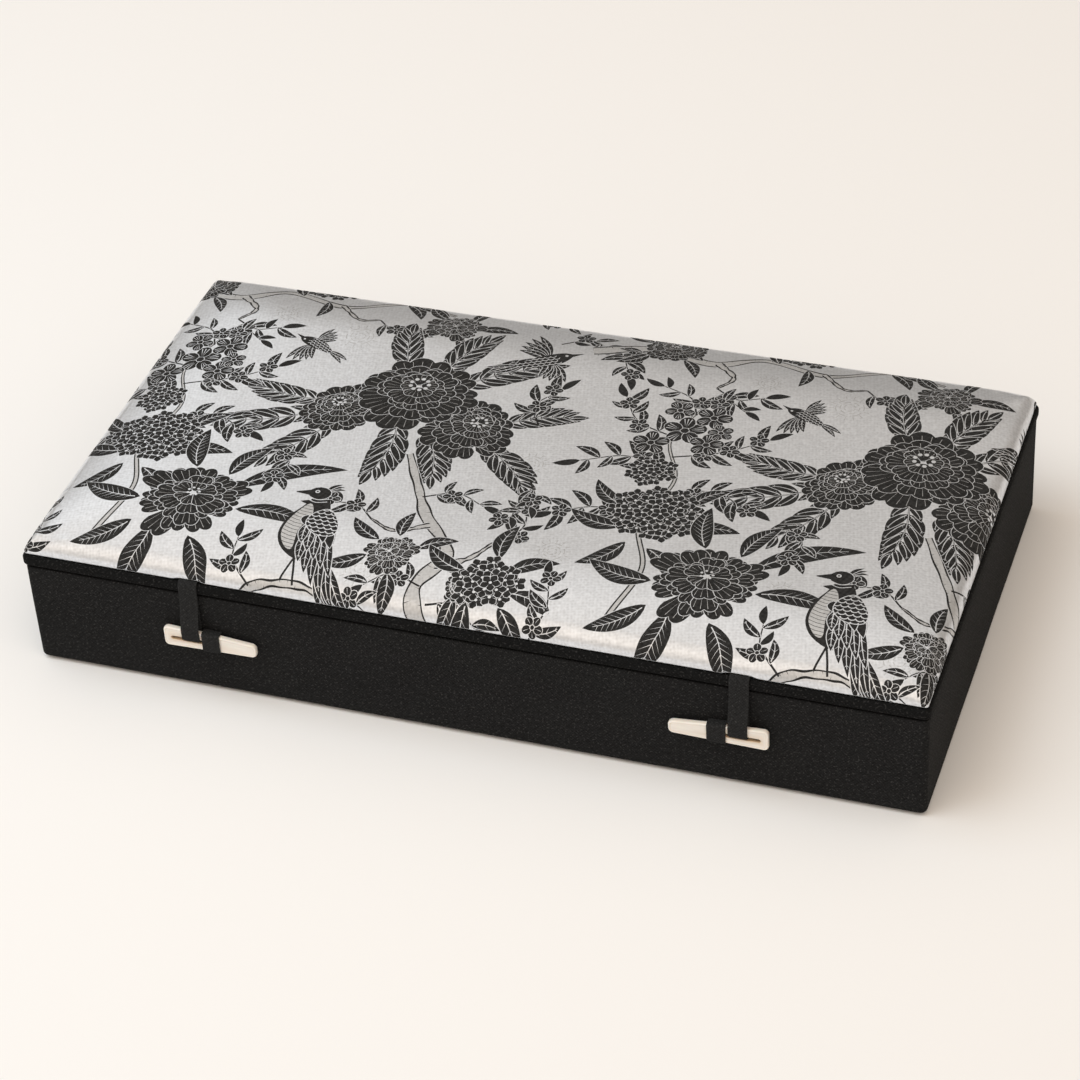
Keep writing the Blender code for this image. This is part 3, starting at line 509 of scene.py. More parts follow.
def draw_great_daisy(cloth):
    """The great daisy and its long leaves."""
    for root, angle, length, width in (
        ((-8, -56), 0.5, 50, 13), ((-2, -70), -0.1, 36, 12), ((-34, -88), -1.9, 32, 14),
        ((-16, -90), -1.2, 32, 13), ((-46, -72), 2.9, 30, 13), ((-30, -46), 1.75, 28, 12),
        ((-14, -48), 1.1, 26, 11), ((-44, -86), -2.5, 28, 12),
    ):
        leaf(cloth, root, angle, length, 0.8 * width, 0.1, 8)
    star_daisy(cloth.placed(-24, -68, 0.1), 26)


def draw_birds(cloth):
    """The perched bird on its bough and the two in flight."""
    bough(cloth, ((8, -120), (20, -108), (42, -105), (58, -112)), 5.4, 2.0)
    spray(cloth, ((18, -108), (8, -98), (6, -86)), 5, 11, 1)
    spray(cloth, ((58, -112), (66, -108), (74, -114)), 3, 10, 1)
    perched_bird(cloth.placed(34, -98, 0.0, 1.2))
    flying_bird(cloth.placed(94, 66, 0.5, 1.15))
    flying_bird(cloth.placed(-12, 56, 2.6, 0.85))


def draw_repeat(cloth):
    """One repeat of the flower-and-bird pattern, 232 mm wide."""
    for x, y, radius in ((64, -92, 7), (-92, -64, 6), (4, 66, 7), (-36, 76, 5), (112, -8, 6), (8, -66, 5)):
        ghost_rosette(cloth.placed(x, y), radius)
    draw_hinge_side(cloth)
    draw_tree(cloth)
    draw_peonies(cloth)
    draw_floret_stem(cloth)
    draw_great_daisy(cloth)
    draw_birds(cloth)
    for root, angle in (
        ((-106, -82), 0.5), ((-102, -92), -0.4), ((-124, -84), 2.6), ((-118, -100), -1.9), ((-112, -74), 1.5),
        ((-104, -100), -1.1),
    ):
        leaf(cloth, root, angle, 23, 8, 0.12, 5)
    floret_head(cloth.placed(-113, -88), 13, 12, 22, 4.6)
    sprays(
        cloth,
        (((-90, -114), (-84, -98), (-88, -80)), 7, 11, 2), (((-2, -22), (8, -32), (6, -46)), 6, 11, 2),
        (((106, 20), (100, 34), (108, 48)), 6, 12, 2), (((-116, -20), (-110, -34), (-118, -48)), 6, 11, 2),
    )


# The crowned pad

class PadForm:
    """The top of the pad as a function of two places on its flat cloth, in metres from its middle.

    Near each edge the cloth runs over a roll: its height is the square root of 1 - (1 - t) ** fullness at
    the share t of its width, and t comes from the arc's length. The whole height is the product of the two
    rolls, plus the product of two low parabolas. In plan, the corners are rounded with the usual map from a
    square to a disc."""

    def __init__(self, low, high, look):
        self.half = np.array(((high.x - low.x) / 2, (high.y - low.y) / 2))
        self.middle = np.array(((high.x + low.x) / 2, (high.y + low.y) / 2))
        self.base, self.look = low.z, look
        self.roll = high.z - low.z - look.dome_height - look.hem
        self.shares = 1 - np.cos(np.linspace(0, math.pi / 2, 96))
        self.rises = np.sqrt(1 - (1 - self.shares) ** look.roll_fullness)
        steps = np.hypot(look.roll_width * np.diff(self.shares), self.roll * np.diff(self.rises))
        self.lengths = np.concatenate(((0,), np.cumsum(steps)))
        self.cloth_half = self.half - look.roll_width + self.lengths[-1]

    def across(self, place, axis):
        """Plan place, roll share and dome share of a cloth place along one axis."""
        look = self.look
        edge = self.cloth_half[axis] - np.abs(place)
        past_edge = np.minimum(edge, 0) * self.rises[1] / self.lengths[1]
        rise = np.interp(edge, self.lengths, self.rises) + past_edge
        share = np.interp(edge, self.lengths, self.shares)
        inset = look.roll_width * share + np.maximum(edge - self.lengths[-1], 0)
        dome = 1 - (1 - np.clip(inset / look.dome_width, 0, 1)) ** 2
        return np.sign(place) * (self.half[axis] - inset), rise, dome

    def points(self, u, v):
        """Places in space of cloth places.

        To the height come folds that fan out from the corners and are deepest 16 mm from them, slow waves
        as products of sines, and the lift over the straps' ends."""
        look = self.look
        x, roll_x, dome_x = self.across(u, 0)
        y, roll_y, dome_y = self.across(v, 1)
        height = look.hem + self.roll * roll_x * roll_y + look.dome_height * dome_x * dome_y
        radius = look.corner_radius
        a = np.clip((np.abs(x) - self.half[0] + radius) / radius, 0, 1)
        b = np.clip((np.abs(y) - self.half[1] + radius) / radius, 0, 1)
        cut_x = np.where(a > 0, self.half[0] - radius + radius * a * np.sqrt(1 - b * b / 2), np.abs(x))
        cut_y = np.where(b > 0, self.half[1] - radius + radius * b * np.sqrt(1 - a * a / 2), np.abs(y))
        corner = np.hypot(self.cloth_half[0] - np.abs(u), self.cloth_half[1] - np.abs(v))
        bearing = np.arctan2(self.cloth_half[1] - np.abs(v), self.cloth_half[0] - np.abs(u))
        crease = np.sin(9 * bearing) * np.exp(-((corner - 0.016) / 0.010) ** 2)
        ripple = np.sin(71 * u + 1.3) * np.sin(83 * v + 0.4) + 0.6 * np.sin(163 * u + 97 * v)
        height = height + roll_x * roll_y * (look.crease * crease + look.ripple * ripple)
        strap_lift = self.strap_lift(np.sign(u) * cut_x, v)
        height = height + strap_lift * np.exp(-((self.cloth_half[1] + v) / 0.004) ** 2)
        return np.stack((np.sign(u) * cut_x + self.middle[0], np.sign(v) * cut_y + self.middle[1],
                         self.base + height), -1)

    def strap_lift(self, x, v):
        """How far the hem rides up over the straps' ends, at the front only."""
        lift = np.zeros_like(x)
        for side in SIDES:
            low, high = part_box(f"strap_{side}")
            away = np.abs(x + self.middle[0] - (low.x + high.x) / 2) / (0.56 * (high.x - low.x) + 0.0012)
            lift = lift + self.look.strap_lift / (1 + away**10)
        return np.where(v < 0, lift, 0.0)

    def normals(self, u, v):
        """Outward directions, from the slopes of the form along both of its cloth axes."""
        step = 2e-5
        along_u = self.points(u + step, v) - self.points(u - step, v)
        along_v = self.points(u, v + step) - self.points(u, v - step)
        normal = np.cross(along_u, along_v)
        size = np.linalg.norm(normal, axis=1, keepdims=True)
        corner = np.stack((np.sign(u), np.sign(v), np.ones_like(u)), -1) / math.sqrt(3)
        return np.where(size > 1e-12, normal / np.maximum(size, 1e-12), corner)


def cut_finer(outline, edge, limits):
    """Split the sides of an outline: near the pad's rolled edge into short ones, elsewhere into long ones."""
    following = np.roll(outline, -1, 0)
    near = np.any(np.abs(outline) > edge, axis=1) | np.any(np.abs(following) > edge, axis=1)
    lengths = np.linalg.norm(following - outline, axis=1)
    counts = np.maximum(np.ceil(lengths / np.where(near, *limits)), 1).astype(int)
    start = np.repeat(outline, counts, axis=0)
    step = np.repeat((following - outline) / counts[:, None], counts, axis=0)
    order = np.arange(len(start)) - np.repeat(np.cumsum(counts) - counts, counts)
    return start + step * order[:, None]


def helper_points(half, roll, fine, coarse):
    """Extra places for the triangles of a pad: fine rows over its rolled edge and a coarse net inside."""
    columns, rows = (
        np.unique(np.concatenate((
            np.linspace(-size, -size + roll, int(roll / fine) + 1),
            np.linspace(-size + roll, size - roll, int(2 * (size - roll) / coarse) + 1),
            np.linspace(size - roll, size, int(roll / fine) + 1),
        )))
        for size in half
    )
    return np.stack(np.meshgrid(columns[1:-1], rows[1:-1]), -1).reshape(-1, 2)


def triangulate(outlines, extra, edges=()):
    """Triangles of a flat net that holds every outline's sides, and for each the outlines that it lies in."""
    points, faces = [], []
    for outline in outlines:
        faces.append(list(range(len(points), len(points) + len(outline))))
        points += [Vector(point) for point in outline.tolist()]
    points += [Vector(point) for point in extra.tolist()]
    made = delaunay_2d_cdt(points, list(edges), faces, 0, 1e-4, True)
    return np.array([tuple(point) for point in made[0]]), made[2], made[5]


def thread_borders(triangles, threads):
    """The edges of a triangulation with another thread, or nothing, on their other side."""
    edges = np.sort(np.vstack((triangles[:, :2], triangles[:, 1:], triangles[:, ::2])), axis=1)
    colours = np.tile(threads, 3)
    order = np.lexsort((edges[:, 1], edges[:, 0]))
    edges, colours = edges[order], colours[order]
    paired = np.all(edges[1:] == edges[:-1], axis=1)
    alike = np.zeros(len(edges), bool)
    same = paired & (colours[1:] == colours[:-1])
    alike[1:] |= same
    alike[:-1] |= same
    return np.unique(edges[~alike], axis=0)


def weave(cloth, half, roll):
    """The woven cloth as flat triangles: places in millimetres, triangles, and each triangle's thread.

    The topmost figure over a triangle gives its thread, unless it has to stay inside one that isn't there.
    Then the net is made again from the borders between threads alone, and each of its triangles takes the
    thread that lies under its middle in the first net."""
    border = np.array(((-half[0], -half[1]), (half[0], -half[1]), (half[0], half[1]), (-half[0], half[1])))
    edge = half - roll - 1
    kept = [index for index, outline in enumerate(cloth.outlines)
            if np.all(outline.max(0) > -half) and np.all(outline.min(0) < half)]
    renumbered = {index: place + 1 for place, index in enumerate(kept)}
    outlines = [cut_finer(border, edge, (2.0, 2.0))]
    outlines += [cut_finer(cloth.outlines[index], edge, (1.2, 8.0)) for index in kept]
    threads = [SILVER] + [cloth.threads[index] for index in kept]
    inside = [None] + [renumbered.get(cloth.inside[index]) for index in kept]
    places, triangles, owners = triangulate(outlines, np.zeros((0, 2)))
    chosen, colours = [], []
    for triangle, owner in zip(triangles, owners):
        if 0 in owner:
            over = set(owner)
            chosen.append(triangle)
            there = (index for index in over if inside[index] is None or inside[index] in over)
            colours.append(threads[max(there)])
    triangles, colours = np.array(chosen), np.array(colours, np.int32)

    edges = thread_borders(triangles, colours)
    used, edges = np.unique(edges, return_inverse=True)
    fewer = np.vstack((places[used], helper_points(half, roll, 1.2, 5.5)))
    finer, net, _ = triangulate([], fewer, edges.reshape(-1, 2).tolist())
    net = np.array(net)
    first_net = BVHTree.FromPolygons([(x, y, 0) for x, y in places.tolist()], triangles.tolist())
    middles = finer[net].mean(1)
    hits = [first_net.ray_cast((x, y, 1), (0, 0, -1))[2] for x, y in middles.tolist()]
    kept = np.array([hit is not None for hit in hits])
    found = np.array([hit for hit in hits if hit is not None])
    return finer, net[kept], colours[found]


def perimeter_order(places, half):
    """The vertices on the border of the cloth, in their order anticlockwise from its lower left corner."""
    on_side = np.any(np.abs(np.abs(places) - half) < 0.005, axis=1)
    index = np.flatnonzero(on_side)
    x, y = places[index].T
    width, depth = 2 * half
    along = np.select(
        (y < -half[1] + 0.005, x > half[0] - 0.005, y > half[1] - 0.005),
        (x + half[0], width + y + half[1], width + depth + half[0] - x),
        2 * width + depth + half[1] - y,
    )
    return index[np.argsort(along)]


# Meshes

# Points along each long side, short side and corner of a ring round the casket
RING_COUNTS = (96, 52, 8)


def make_piece(name, points, faces, cloth=None, sharp=None):
    """A mesh object at the origin from arrays. faces is a list of arrays of equally long faces."""
    mesh = bpy.data.meshes.new(name)
    points = np.asarray(points, np.float32)
    mesh.vertices.add(len(points))
    mesh.vertices.foreach_set("co", points.ravel())
    corners = np.concatenate([np.asarray(part).ravel() for part in faces]).astype(np.int32)
    sizes = np.concatenate([np.full(len(part), len(part[0])) for part in faces])
    mesh.loops.add(len(corners))
    mesh.loops.foreach_set("vertex_index", corners)
    mesh.polygons.add(len(sizes))
    mesh.polygons.foreach_set("loop_start", (np.cumsum(sizes) - sizes).astype(np.int32))
    mesh.update(calc_edges=True)
    mesh.shade_smooth()
    if cloth is not None:
        layer = mesh.uv_layers.new(name="cloth")
        layer.data.foreach_set("uv", np.asarray(cloth, np.float32)[corners].ravel())
    if sharp is not None:
        mesh.set_sharp_from_angle(angle=math.radians(sharp))
    mesh.validate()
    piece = bpy.data.objects.new(name, mesh)
    bpy.context.scene.collection.objects.link(piece)
    return piece


def vertex_places(mesh):
    """The places of a mesh's vertices, as rows of three."""
    places = np.zeros(len(mesh.vertices) * 3, np.float32)
    mesh.vertices.foreach_get("co", places)
    return places.reshape(-1, 3)


def turn_faces_out(piece):
    """Make every face of a closed mesh point outwards, by the sign of its volume."""
    mesh = piece.data
    mesh.calc_loop_triangles()
    corners = np.zeros(len(mesh.loop_triangles) * 3, np.int32)
    mesh.loop_triangles.foreach_get("vertices", corners)
    a, b, c = vertex_places(mesh).astype(float)[corners.reshape(-1, 3)].transpose(1, 0, 2)
    if np.sum(np.cross(a, b) * c) < 0:
        mesh.flip_normals()


def mark(piece, attribute, shares):
    """Write each point's share into the attribute that the piece's material reads, for rubbed edges with
    painted highlight or for painted shade.
    """
    layer = piece.data.attributes.new(attribute, "FLOAT", "POINT")
    layer.data.foreach_set("value", np.asarray(shares, np.float32))


def grid_faces(rows, columns, wrap_rows=False, wrap_columns=True):
    """Four-cornered faces between neighbouring points of a grid whose rows follow one another."""
    row = np.arange(rows if wrap_rows else rows - 1)[:, None]
    column = np.arange(columns if wrap_columns else columns - 1)[None, :]
    row_after, column_after = (row + 1) % rows, (column + 1) % columns
    corners = (row * columns + column, row * columns + column_after,
               row_after * columns + column_after, row_after * columns + column)
    return np.stack(np.broadcast_arrays(*corners), -1).reshape(-1, 4)


def end_caps(rows, columns):
    """The first and the last row of a grid, each as one face."""
    return np.array((np.arange(columns)[::-1], np.arange(columns) + (rows - 1) * columns))


def plan_of(low, high):
    """Half the length, half the width and the middle of a box seen from above."""
    return (high.x - low.x) / 2, (high.y - low.y) / 2, np.array(((high.x + low.x) / 2, (high.y + low.y) / 2))


def arc(centre, radius, start, end, steps=6):
    """Points of an arc in a section, between two angles in degrees."""
    return np.asarray(centre) + radius * toward(np.radians(np.linspace(start, end, steps + 1)))


def straight(start, end, spacing=0.004):
    """Points of a straight run of a section, both ends left out."""
    count = max(int(math.dist(start, end) / spacing), 1)
    return np.linspace(start, end, count + 1)[1:-1]


def ring(half_x, half_y, radius, counts):
    """A rectangle with round corners, anticlockwise, with a fixed count of points a side and a corner."""
    along_x, along_y, along_corner = counts
    points = []
    signs = ((1, 1), (-1, 1), (-1, -1), (1, -1))
    for quarter, (sign_x, sign_y) in enumerate(signs):
        middle = (sign_x * (half_x - radius), sign_y * (half_y - radius))
        points.append(arc(middle, radius, 90 * quarter, 90 * quarter + 90, along_corner))
        count = along_y if quarter % 2 else along_x
        next_x, next_y = signs[(quarter + 1) % 4]
        following = np.array((next_x * (half_x - radius), next_y * (half_y - radius)))
        following = following + radius * toward(math.radians(90 * quarter + 90))
        points.append(np.linspace(points[-1][-1], following, count + 1)[1:-1])
    return np.vstack(points)


def stacked_rings(profile, half_x, half_y, radii, counts=RING_COUNTS):
    """A ring of points for each (inset, height) of a profile and each corner radius, as rows of a grid."""
    rings = []
    for (inset, height), radius in zip(profile, radii):
        flat = ring(half_x - inset, half_y - inset, radius, counts)
        rings.append(np.column_stack((flat, np.full(len(flat), height))))
    return np.array(rings)


def wrapped_cloth(name, section, box, look, highlight_and_shade_heights):
    """Book cloth round a board: a closed section carried round a rounded rectangle, rippled by slow sines.

    The heights given are those of the edge that is rubbed light, partly wear and partly a painted highlight,
    and of the groove between lid and tray that is darkened as painted shade. The section is its outer path and
    then its inner one, which lies a cloth's thickness to the path's right."""
    half_x, half_y, middle = plan_of(*box)
    inner = section + look.thickness * right_of(unit_steps(np.gradient(section, axis=0)))
    closed = np.vstack((section, inner[::-1]))
    least_radius = 0.0003
    radii = np.maximum(look.corner_radius - closed[:, 0], least_radius)
    points = stacked_rings(closed, half_x, half_y, radii)
    x, y, z = np.moveaxis(points, -1, 0)
    waves = np.sin(61 * x + 47 * y + 90 * z) + 0.7 * np.sin(113 * x - 89 * y + 31 * z)
    points[..., :2] *= 1 - look.ripple * waves[..., None] / np.hypot(half_x, half_y)
    points += (*middle, box[0].z)
    rows, columns = points.shape[:2]
    along = lengths_along(ring(half_x, half_y, look.corner_radius, RING_COUNTS))
    cloth = np.stack(np.meshgrid(along, lengths_along(closed)), -1).reshape(-1, 2)
    piece = make_piece(name, points.reshape(-1, 3), [grid_faces(rows, columns, wrap_rows=True)], cloth)
    # Painted highlight, partly rubbed wear, along the upper edge, and painted shade in the groove between lid
    # and tray
    light, dark = ((points[..., 2].ravel() - level) / MM for level in highlight_and_shade_heights)
    mark(piece, "wear_highlight_groove_shade", np.exp(-(light / 0.7) ** 2) - np.exp(-(dark / 0.75) ** 2))
    turn_faces_out(piece)
    return piece


def ribbon(name, path, width, thickness, middle_x, closed=False, columns=9):
    """A flat strap: a path in the YZ plane carried along X, with rounded long edges.

    A point of its section lies at a share of the width, on one face or the other."""
    share = np.linspace(-1, 1, columns)
    across = np.concatenate((share, share[::-1]))
    face = np.repeat((1.0, -1.0), columns)
    edge = np.clip((1 - np.abs(across)) * width / thickness, 0, 1)
    round_edge = np.sqrt(1 - (1 - edge) ** 2) * 0.75 + 0.25
    steps = np.roll(path, -1, 0) - np.roll(path, 1, 0) if closed else np.gradient(path, axis=0)
    normal = right_of(unit_steps(steps))
    flat = path[:, None, :] + normal[:, None, :] * (face * round_edge * thickness / 2)[None, :, None]
    x = np.broadcast_to(middle_x + across * width / 2, flat.shape[:2])
    points = np.stack((x, flat[..., 0], flat[..., 1]), -1)
    cloth = np.stack(np.broadcast_arrays(across[None, :] * width / 2, lengths_along(path)[:, None]), -1)
    rows, wide = points.shape[:2]
    faces = [grid_faces(rows, wide, wrap_rows=closed)]
    if not closed:
        faces.append(end_caps(rows, wide))
    piece = make_piece(name, points.reshape(-1, 3), faces, cloth.reshape(-1, 2), sharp=60)
    # Lighter long edges of straps and hinge strip: partly rubbed wear, partly a painted highlight
    mark(piece, "wear_highlight_groove_shade", np.tile(np.clip(1 - edge / 2, 0, 1), rows))
    turn_faces_out(piece)
    return piece


def lofted_pad(name, profile, half_x, half_y, corner, middle, counts=RING_COUNTS, axes=(0, 1, 2)):
    """A closed pad from rings of (inset, height), with a flat cap at both ends.

    Its own three axes, the thin one last, lie along the given axes of space."""
    rings = stacked_rings(profile, half_x, half_y, np.maximum(corner - 0.4 * profile[:, 0], 0.0006), counts)
    rows, columns = rings.shape[:2]
    local = rings.reshape(-1, 3)
    points = np.empty_like(local)
    points[:, axes] = local
    faces = [grid_faces(rows, columns), end_caps(rows, columns)]
    piece = make_piece(name, points + middle, faces, local[:, :2])
    turn_faces_out(piece)
    return piece


# Materials

def node(tree, kind, inputs=None, **settings):
    """A shader node with its settings and unlinked input values."""
    made = tree.nodes.new(kind)
    for name, value in settings.items():
        setattr(made, name, value)
    for name, value in (inputs or {}).items():
        made.inputs[name].default_value = value
    return made


def feed(tree, socket, value):
    """Link an output socket into an input, or set the input to a plain value."""
    if isinstance(value, bpy.types.NodeSocket):
        tree.links.new(value, socket)
    else:
        socket.default_value = value


def socket_value(tree, operation, *values):
    """A Math node's result. Each value is a number or an output socket."""
    made = node(tree, "ShaderNodeMath", operation=operation)
    for place, value in enumerate(values):
        feed(tree, made.inputs[place], value)
    return made.outputs[0]


def mixed(tree, factor, dark, light):
    """A colour between two, by a factor socket that is held between 0 and 1."""
    mix = node(tree, "ShaderNodeMix", data_type="RGBA", clamp_factor=True)
    tree.links.new(factor, mix.inputs[0])
    for place, value in ((6, dark), (7, light)):
        feed(tree, mix.inputs[place], value if isinstance(value, bpy.types.NodeSocket) else (*value, 1.0))
    return mix.outputs[2]


def textured(tree, kind, vector, inputs, **settings):
    """A texture node that reads a vector."""
    made = node(tree, kind, inputs, **settings)
    tree.links.new(vector, made.inputs["Vector"])
    return made


def new_group(name, inputs, outputs):
    """An empty node group with named inputs, a vector among them, and float outputs, and its inner ends."""
    tree = bpy.data.node_groups.new(name, "ShaderNodeTree")
    tree.interface.new_socket("Vector", in_out="INPUT", socket_type="NodeSocketVector")
    for label, default in inputs.items():
        made = tree.interface.new_socket(label, in_out="INPUT", socket_type="NodeSocketFloat")
        made.default_value = default
    for label in outputs:
        tree.interface.new_socket(label, in_out="OUTPUT", socket_type="NodeSocketFloat")
    return tree, node(tree, "NodeGroupInput").outputs, node(tree, "NodeGroupOutput").inputs


def thread_group():
    """Plain weave: threads that pass over and under each other, from the sines of both cloth axes."""
    tree, given, result = new_group(
        "crossed_threads", {"Pitch": 0.0006, "Slub": 0.3, "Grain": 900.0}, ("Height", "Patch"))
    scale = socket_value(tree, "DIVIDE", math.pi, given["Pitch"])
    slubs = textured(tree, "ShaderNodeTexNoise", given["Vector"], {"Detail": 2.0})
    tree.links.new(given["Grain"], slubs.inputs["Scale"])
    apart = node(tree, "ShaderNodeSeparateXYZ")
    tree.links.new(given["Vector"], apart.inputs[0])
    across, along = (socket_value(tree, "SINE", socket_value(tree, "MULTIPLY", apart.outputs[axis], scale))
                     for axis in (0, 1))
    even = socket_value(tree, "MULTIPLY_ADD", socket_value(tree, "MULTIPLY", across, along), 0.5, 0.5)
    rough = socket_value(tree, "MULTIPLY", slubs.outputs[0], given["Slub"])
    total = socket_value(tree, "ADD", given["Slub"], 1.0)
    height = socket_value(tree, "DIVIDE", socket_value(tree, "ADD", even, rough), total)
    tree.links.new(height, result["Height"])
    patches = textured(tree, "ShaderNodeTexNoise", given["Vector"],
                       {"Scale": 38.0, "Detail": 3.0, "Roughness": 0.6})
    tree.links.new(patches.outputs[0], result["Patch"])
    return tree


def lint_group():
    """Small bright flecks of lint: the peaks of a fine noise."""
    tree, given, result = new_group("lint_flecks", {"Scale": 900.0, "Threshold": 0.7}, ("Mask",))
    grains = textured(tree, "ShaderNodeTexNoise", given["Vector"], {"Detail": 1.0, "Roughness": 0.4})
    tree.links.new(given["Scale"], grains.inputs["Scale"])
    above = socket_value(tree, "SUBTRACT", grains.outputs[0], given["Threshold"])
    tree.links.new(socket_value(tree, "MULTIPLY", above, 12.0), result["Mask"])
    return tree


GROUPS = {"crossed_threads": thread_group, "lint_flecks": lint_group}


def placed_group(tree, name, vector, values):
    """A group, made at its first use, that is fed with a vector and its own values."""
    group = bpy.data.node_groups.get(name) or GROUPS[name]()
    return textured(tree, "ShaderNodeGroup", vector, values, node_tree=group)


def principled(name, inputs, colour=None):
    """A material whose Principled shader has the given plain values. Gives material, tree and shader."""
    material = bpy.data.materials.new(name)
    material.use_nodes = True
    shader = material.node_tree.nodes["Principled BSDF"]
    for label, value in inputs.items():
        shader.inputs[label].default_value = value
    if colour is not None:
        material.diffuse_color = (*colour, 1.0)
    return material, material.node_tree, shader


def bumped(tree, shader, height, strength, distance):
    """Feed a height into the shader's normal."""
    bump = node(tree, "ShaderNodeBump", {"Strength": strength, "Distance": distance})
    tree.links.new(height, bump.inputs["Height"])
    tree.links.new(bump.outputs[0], shader.inputs["Normal"])


def shades(colour, *shares):
    """A colour made darker or lighter by each share."""
    return [tuple(share * part for part in colour) for share in shares]


def wear_and_shade_share(tree, attribute):
    """The piece's own attribute that says where its colour is rubbed light, painted with highlight or painted
    with shade.
    """
    made = node(tree, "ShaderNodeAttribute", attribute_name=attribute, attribute_type="GEOMETRY")
    return made.outputs["Fac"]


def cloth_shader(name, colour, look, sheen_roughness):
    """The start of a cloth's material: material, tree, shader, and the piece's UV map as a vector."""
    material, tree, shader = principled(name, {
        "Roughness": look["roughness"], "Metallic": look.get("metallic", 0.0), "Sheen Weight": look["sheen"],
        "Sheen Roughness": sheen_roughness, "Specular IOR Level": look["specular"],
    }, colour)
    return material, tree, shader, node(tree, "ShaderNodeUVMap", uv_map="cloth").outputs[0]


def threads_of(tree, vector, look):
    """The height and the patches of a look's threads."""
    values = {"Pitch": look["pitch"], "Slub": look["slub"], "Grain": look["grain"]}
    return placed_group(tree, "crossed_threads", vector, values).outputs


def cloth_material(name, colour, look):
    """Woven cloth: threads in relief, patches of slightly other shade, and lint on top.

    Where the piece's attribute of wear and painted light is above 0, the cloth is rubbed light, partly as wear
    and partly as a painted highlight. Below 0 it is darkened as painted shade in a groove."""
    material, tree, shader, vector = cloth_shader(name, colour, look, 0.45)
    height, patch = threads_of(tree, vector, look)
    dark, light, pale, rubbed_and_highlit, groove_shade = shades(colour, *look["range"], 1.15, look["edge"], 0.1)
    base = mixed(tree, height, dark, light)
    patched = mixed(tree, socket_value(tree, "MULTIPLY", patch, 0.5), base, pale)
    wear_highlight_groove_shade = wear_and_shade_share(tree, "wear_highlight_groove_shade")
    # Rubbed light on the raised threads: partly wear, partly a painted highlight along the edges
    edged = mixed(tree, socket_value(tree, "MULTIPLY", wear_highlight_groove_shade, height), patched, rubbed_and_highlit)
    lint = placed_group(tree, "lint_flecks", vector, {"Scale": look["lint_scale"], "Threshold": look["lint"]})
    linted = mixed(tree, lint.outputs["Mask"], edged, tuple(min(4 * part + 0.02, 1.0) for part in colour))
    # Painted shade: near black where the attribute is below 0, in the groove between lid and tray
    groove_shaded = mixed(tree, socket_value(tree, "MULTIPLY", wear_highlight_groove_shade, -1.0), linted, groove_shade)
    tree.links.new(groove_shaded, shader.inputs["Base Color"])
    bumped(tree, shader, height, look["relief"], look["pitch"])
    return material


def brocade_material(name, colour, look):
    """A thread of the brocade: fine slanted ribs, pebbled relief and slow changes of shade."""
    material, tree, shader, vector = cloth_shader(name, colour, look, 0.35)
    slant = textured(tree, "ShaderNodeMapping", vector, {"Rotation": (0, 0, math.radians(look["slant"]))})
    height, patch = threads_of(tree, slant.outputs[0], look)
    pebbles = textured(tree, "ShaderNodeTexVoronoi", vector, {"Scale": look["pebbles"]}, feature="SMOOTH_F1")
    relief = socket_value(tree, "ADD", height, pebbles.outputs["Distance"])
    base = mixed(tree, socket_value(tree, "MULTIPLY", relief, 0.62), *shades(colour, *look["range"]))
    shade = socket_value(tree, "MULTIPLY", patch, 0.4)
    tree.links.new(mixed(tree, shade, base, colour), shader.inputs["Base Color"])
    bumped(tree, shader, relief, look["relief"], look["pitch"])
    return material


def bone_material(name, colour):
    """Polished bone: cream with faint long grain, and painted shade in tan in the slot and along the bevelled
    edges.
    """
    material, tree, shader = principled(name, {
        "Roughness": 0.32, "Coat Weight": 0.25, "Coat Roughness": 0.2,
        "Subsurface Weight": 0.12, "Subsurface Radius": (0.0016, 0.0009, 0.0005), "Subsurface Scale": 1.0,
    }, colour)
    place = node(tree, "ShaderNodeTexCoord").outputs["Object"]
    stretch = textured(tree, "ShaderNodeMapping", place, {"Scale": (1.0, 6.0, 9.0)})
    grain = textured(tree, "ShaderNodeTexNoise", stretch.outputs[0],
                     {"Scale": 140.0, "Detail": 4.0, "Distortion": 0.4})
    dark, light = shades(colour, 0.9, 1.08)
    streaked = mixed(tree, grain.outputs[0], dark, tuple(min(part, 1) for part in light))
    tan = (colour[0] * 0.72, colour[1] * 0.56, colour[2] * 0.4)
    # Painted shade in tan, deepest in the slot and in the creases round the bevel
    tree.links.new(mixed(tree, wear_and_shade_share(tree, "tan"), streaked, tan), shader.inputs["Base Color"])
    bumped(tree, shader, grain.outputs[0], 0.06, 0.0004)
    return material


def speckled_material(name, kind, inputs, dark, light, strength, depth):
    """A rough stuff speckled between two colours by a fine texture, which is its relief too."""
    material, tree, shader = principled(name, {"Roughness": 0.95})
    grains = textured(tree, kind, node(tree, "ShaderNodeTexCoord").outputs["Object"], inputs).outputs[0]
    tree.links.new(mixed(tree, grains, dark, light), shader.inputs["Base Color"])
    bumped(tree, shader, grains, strength, depth)
    return material


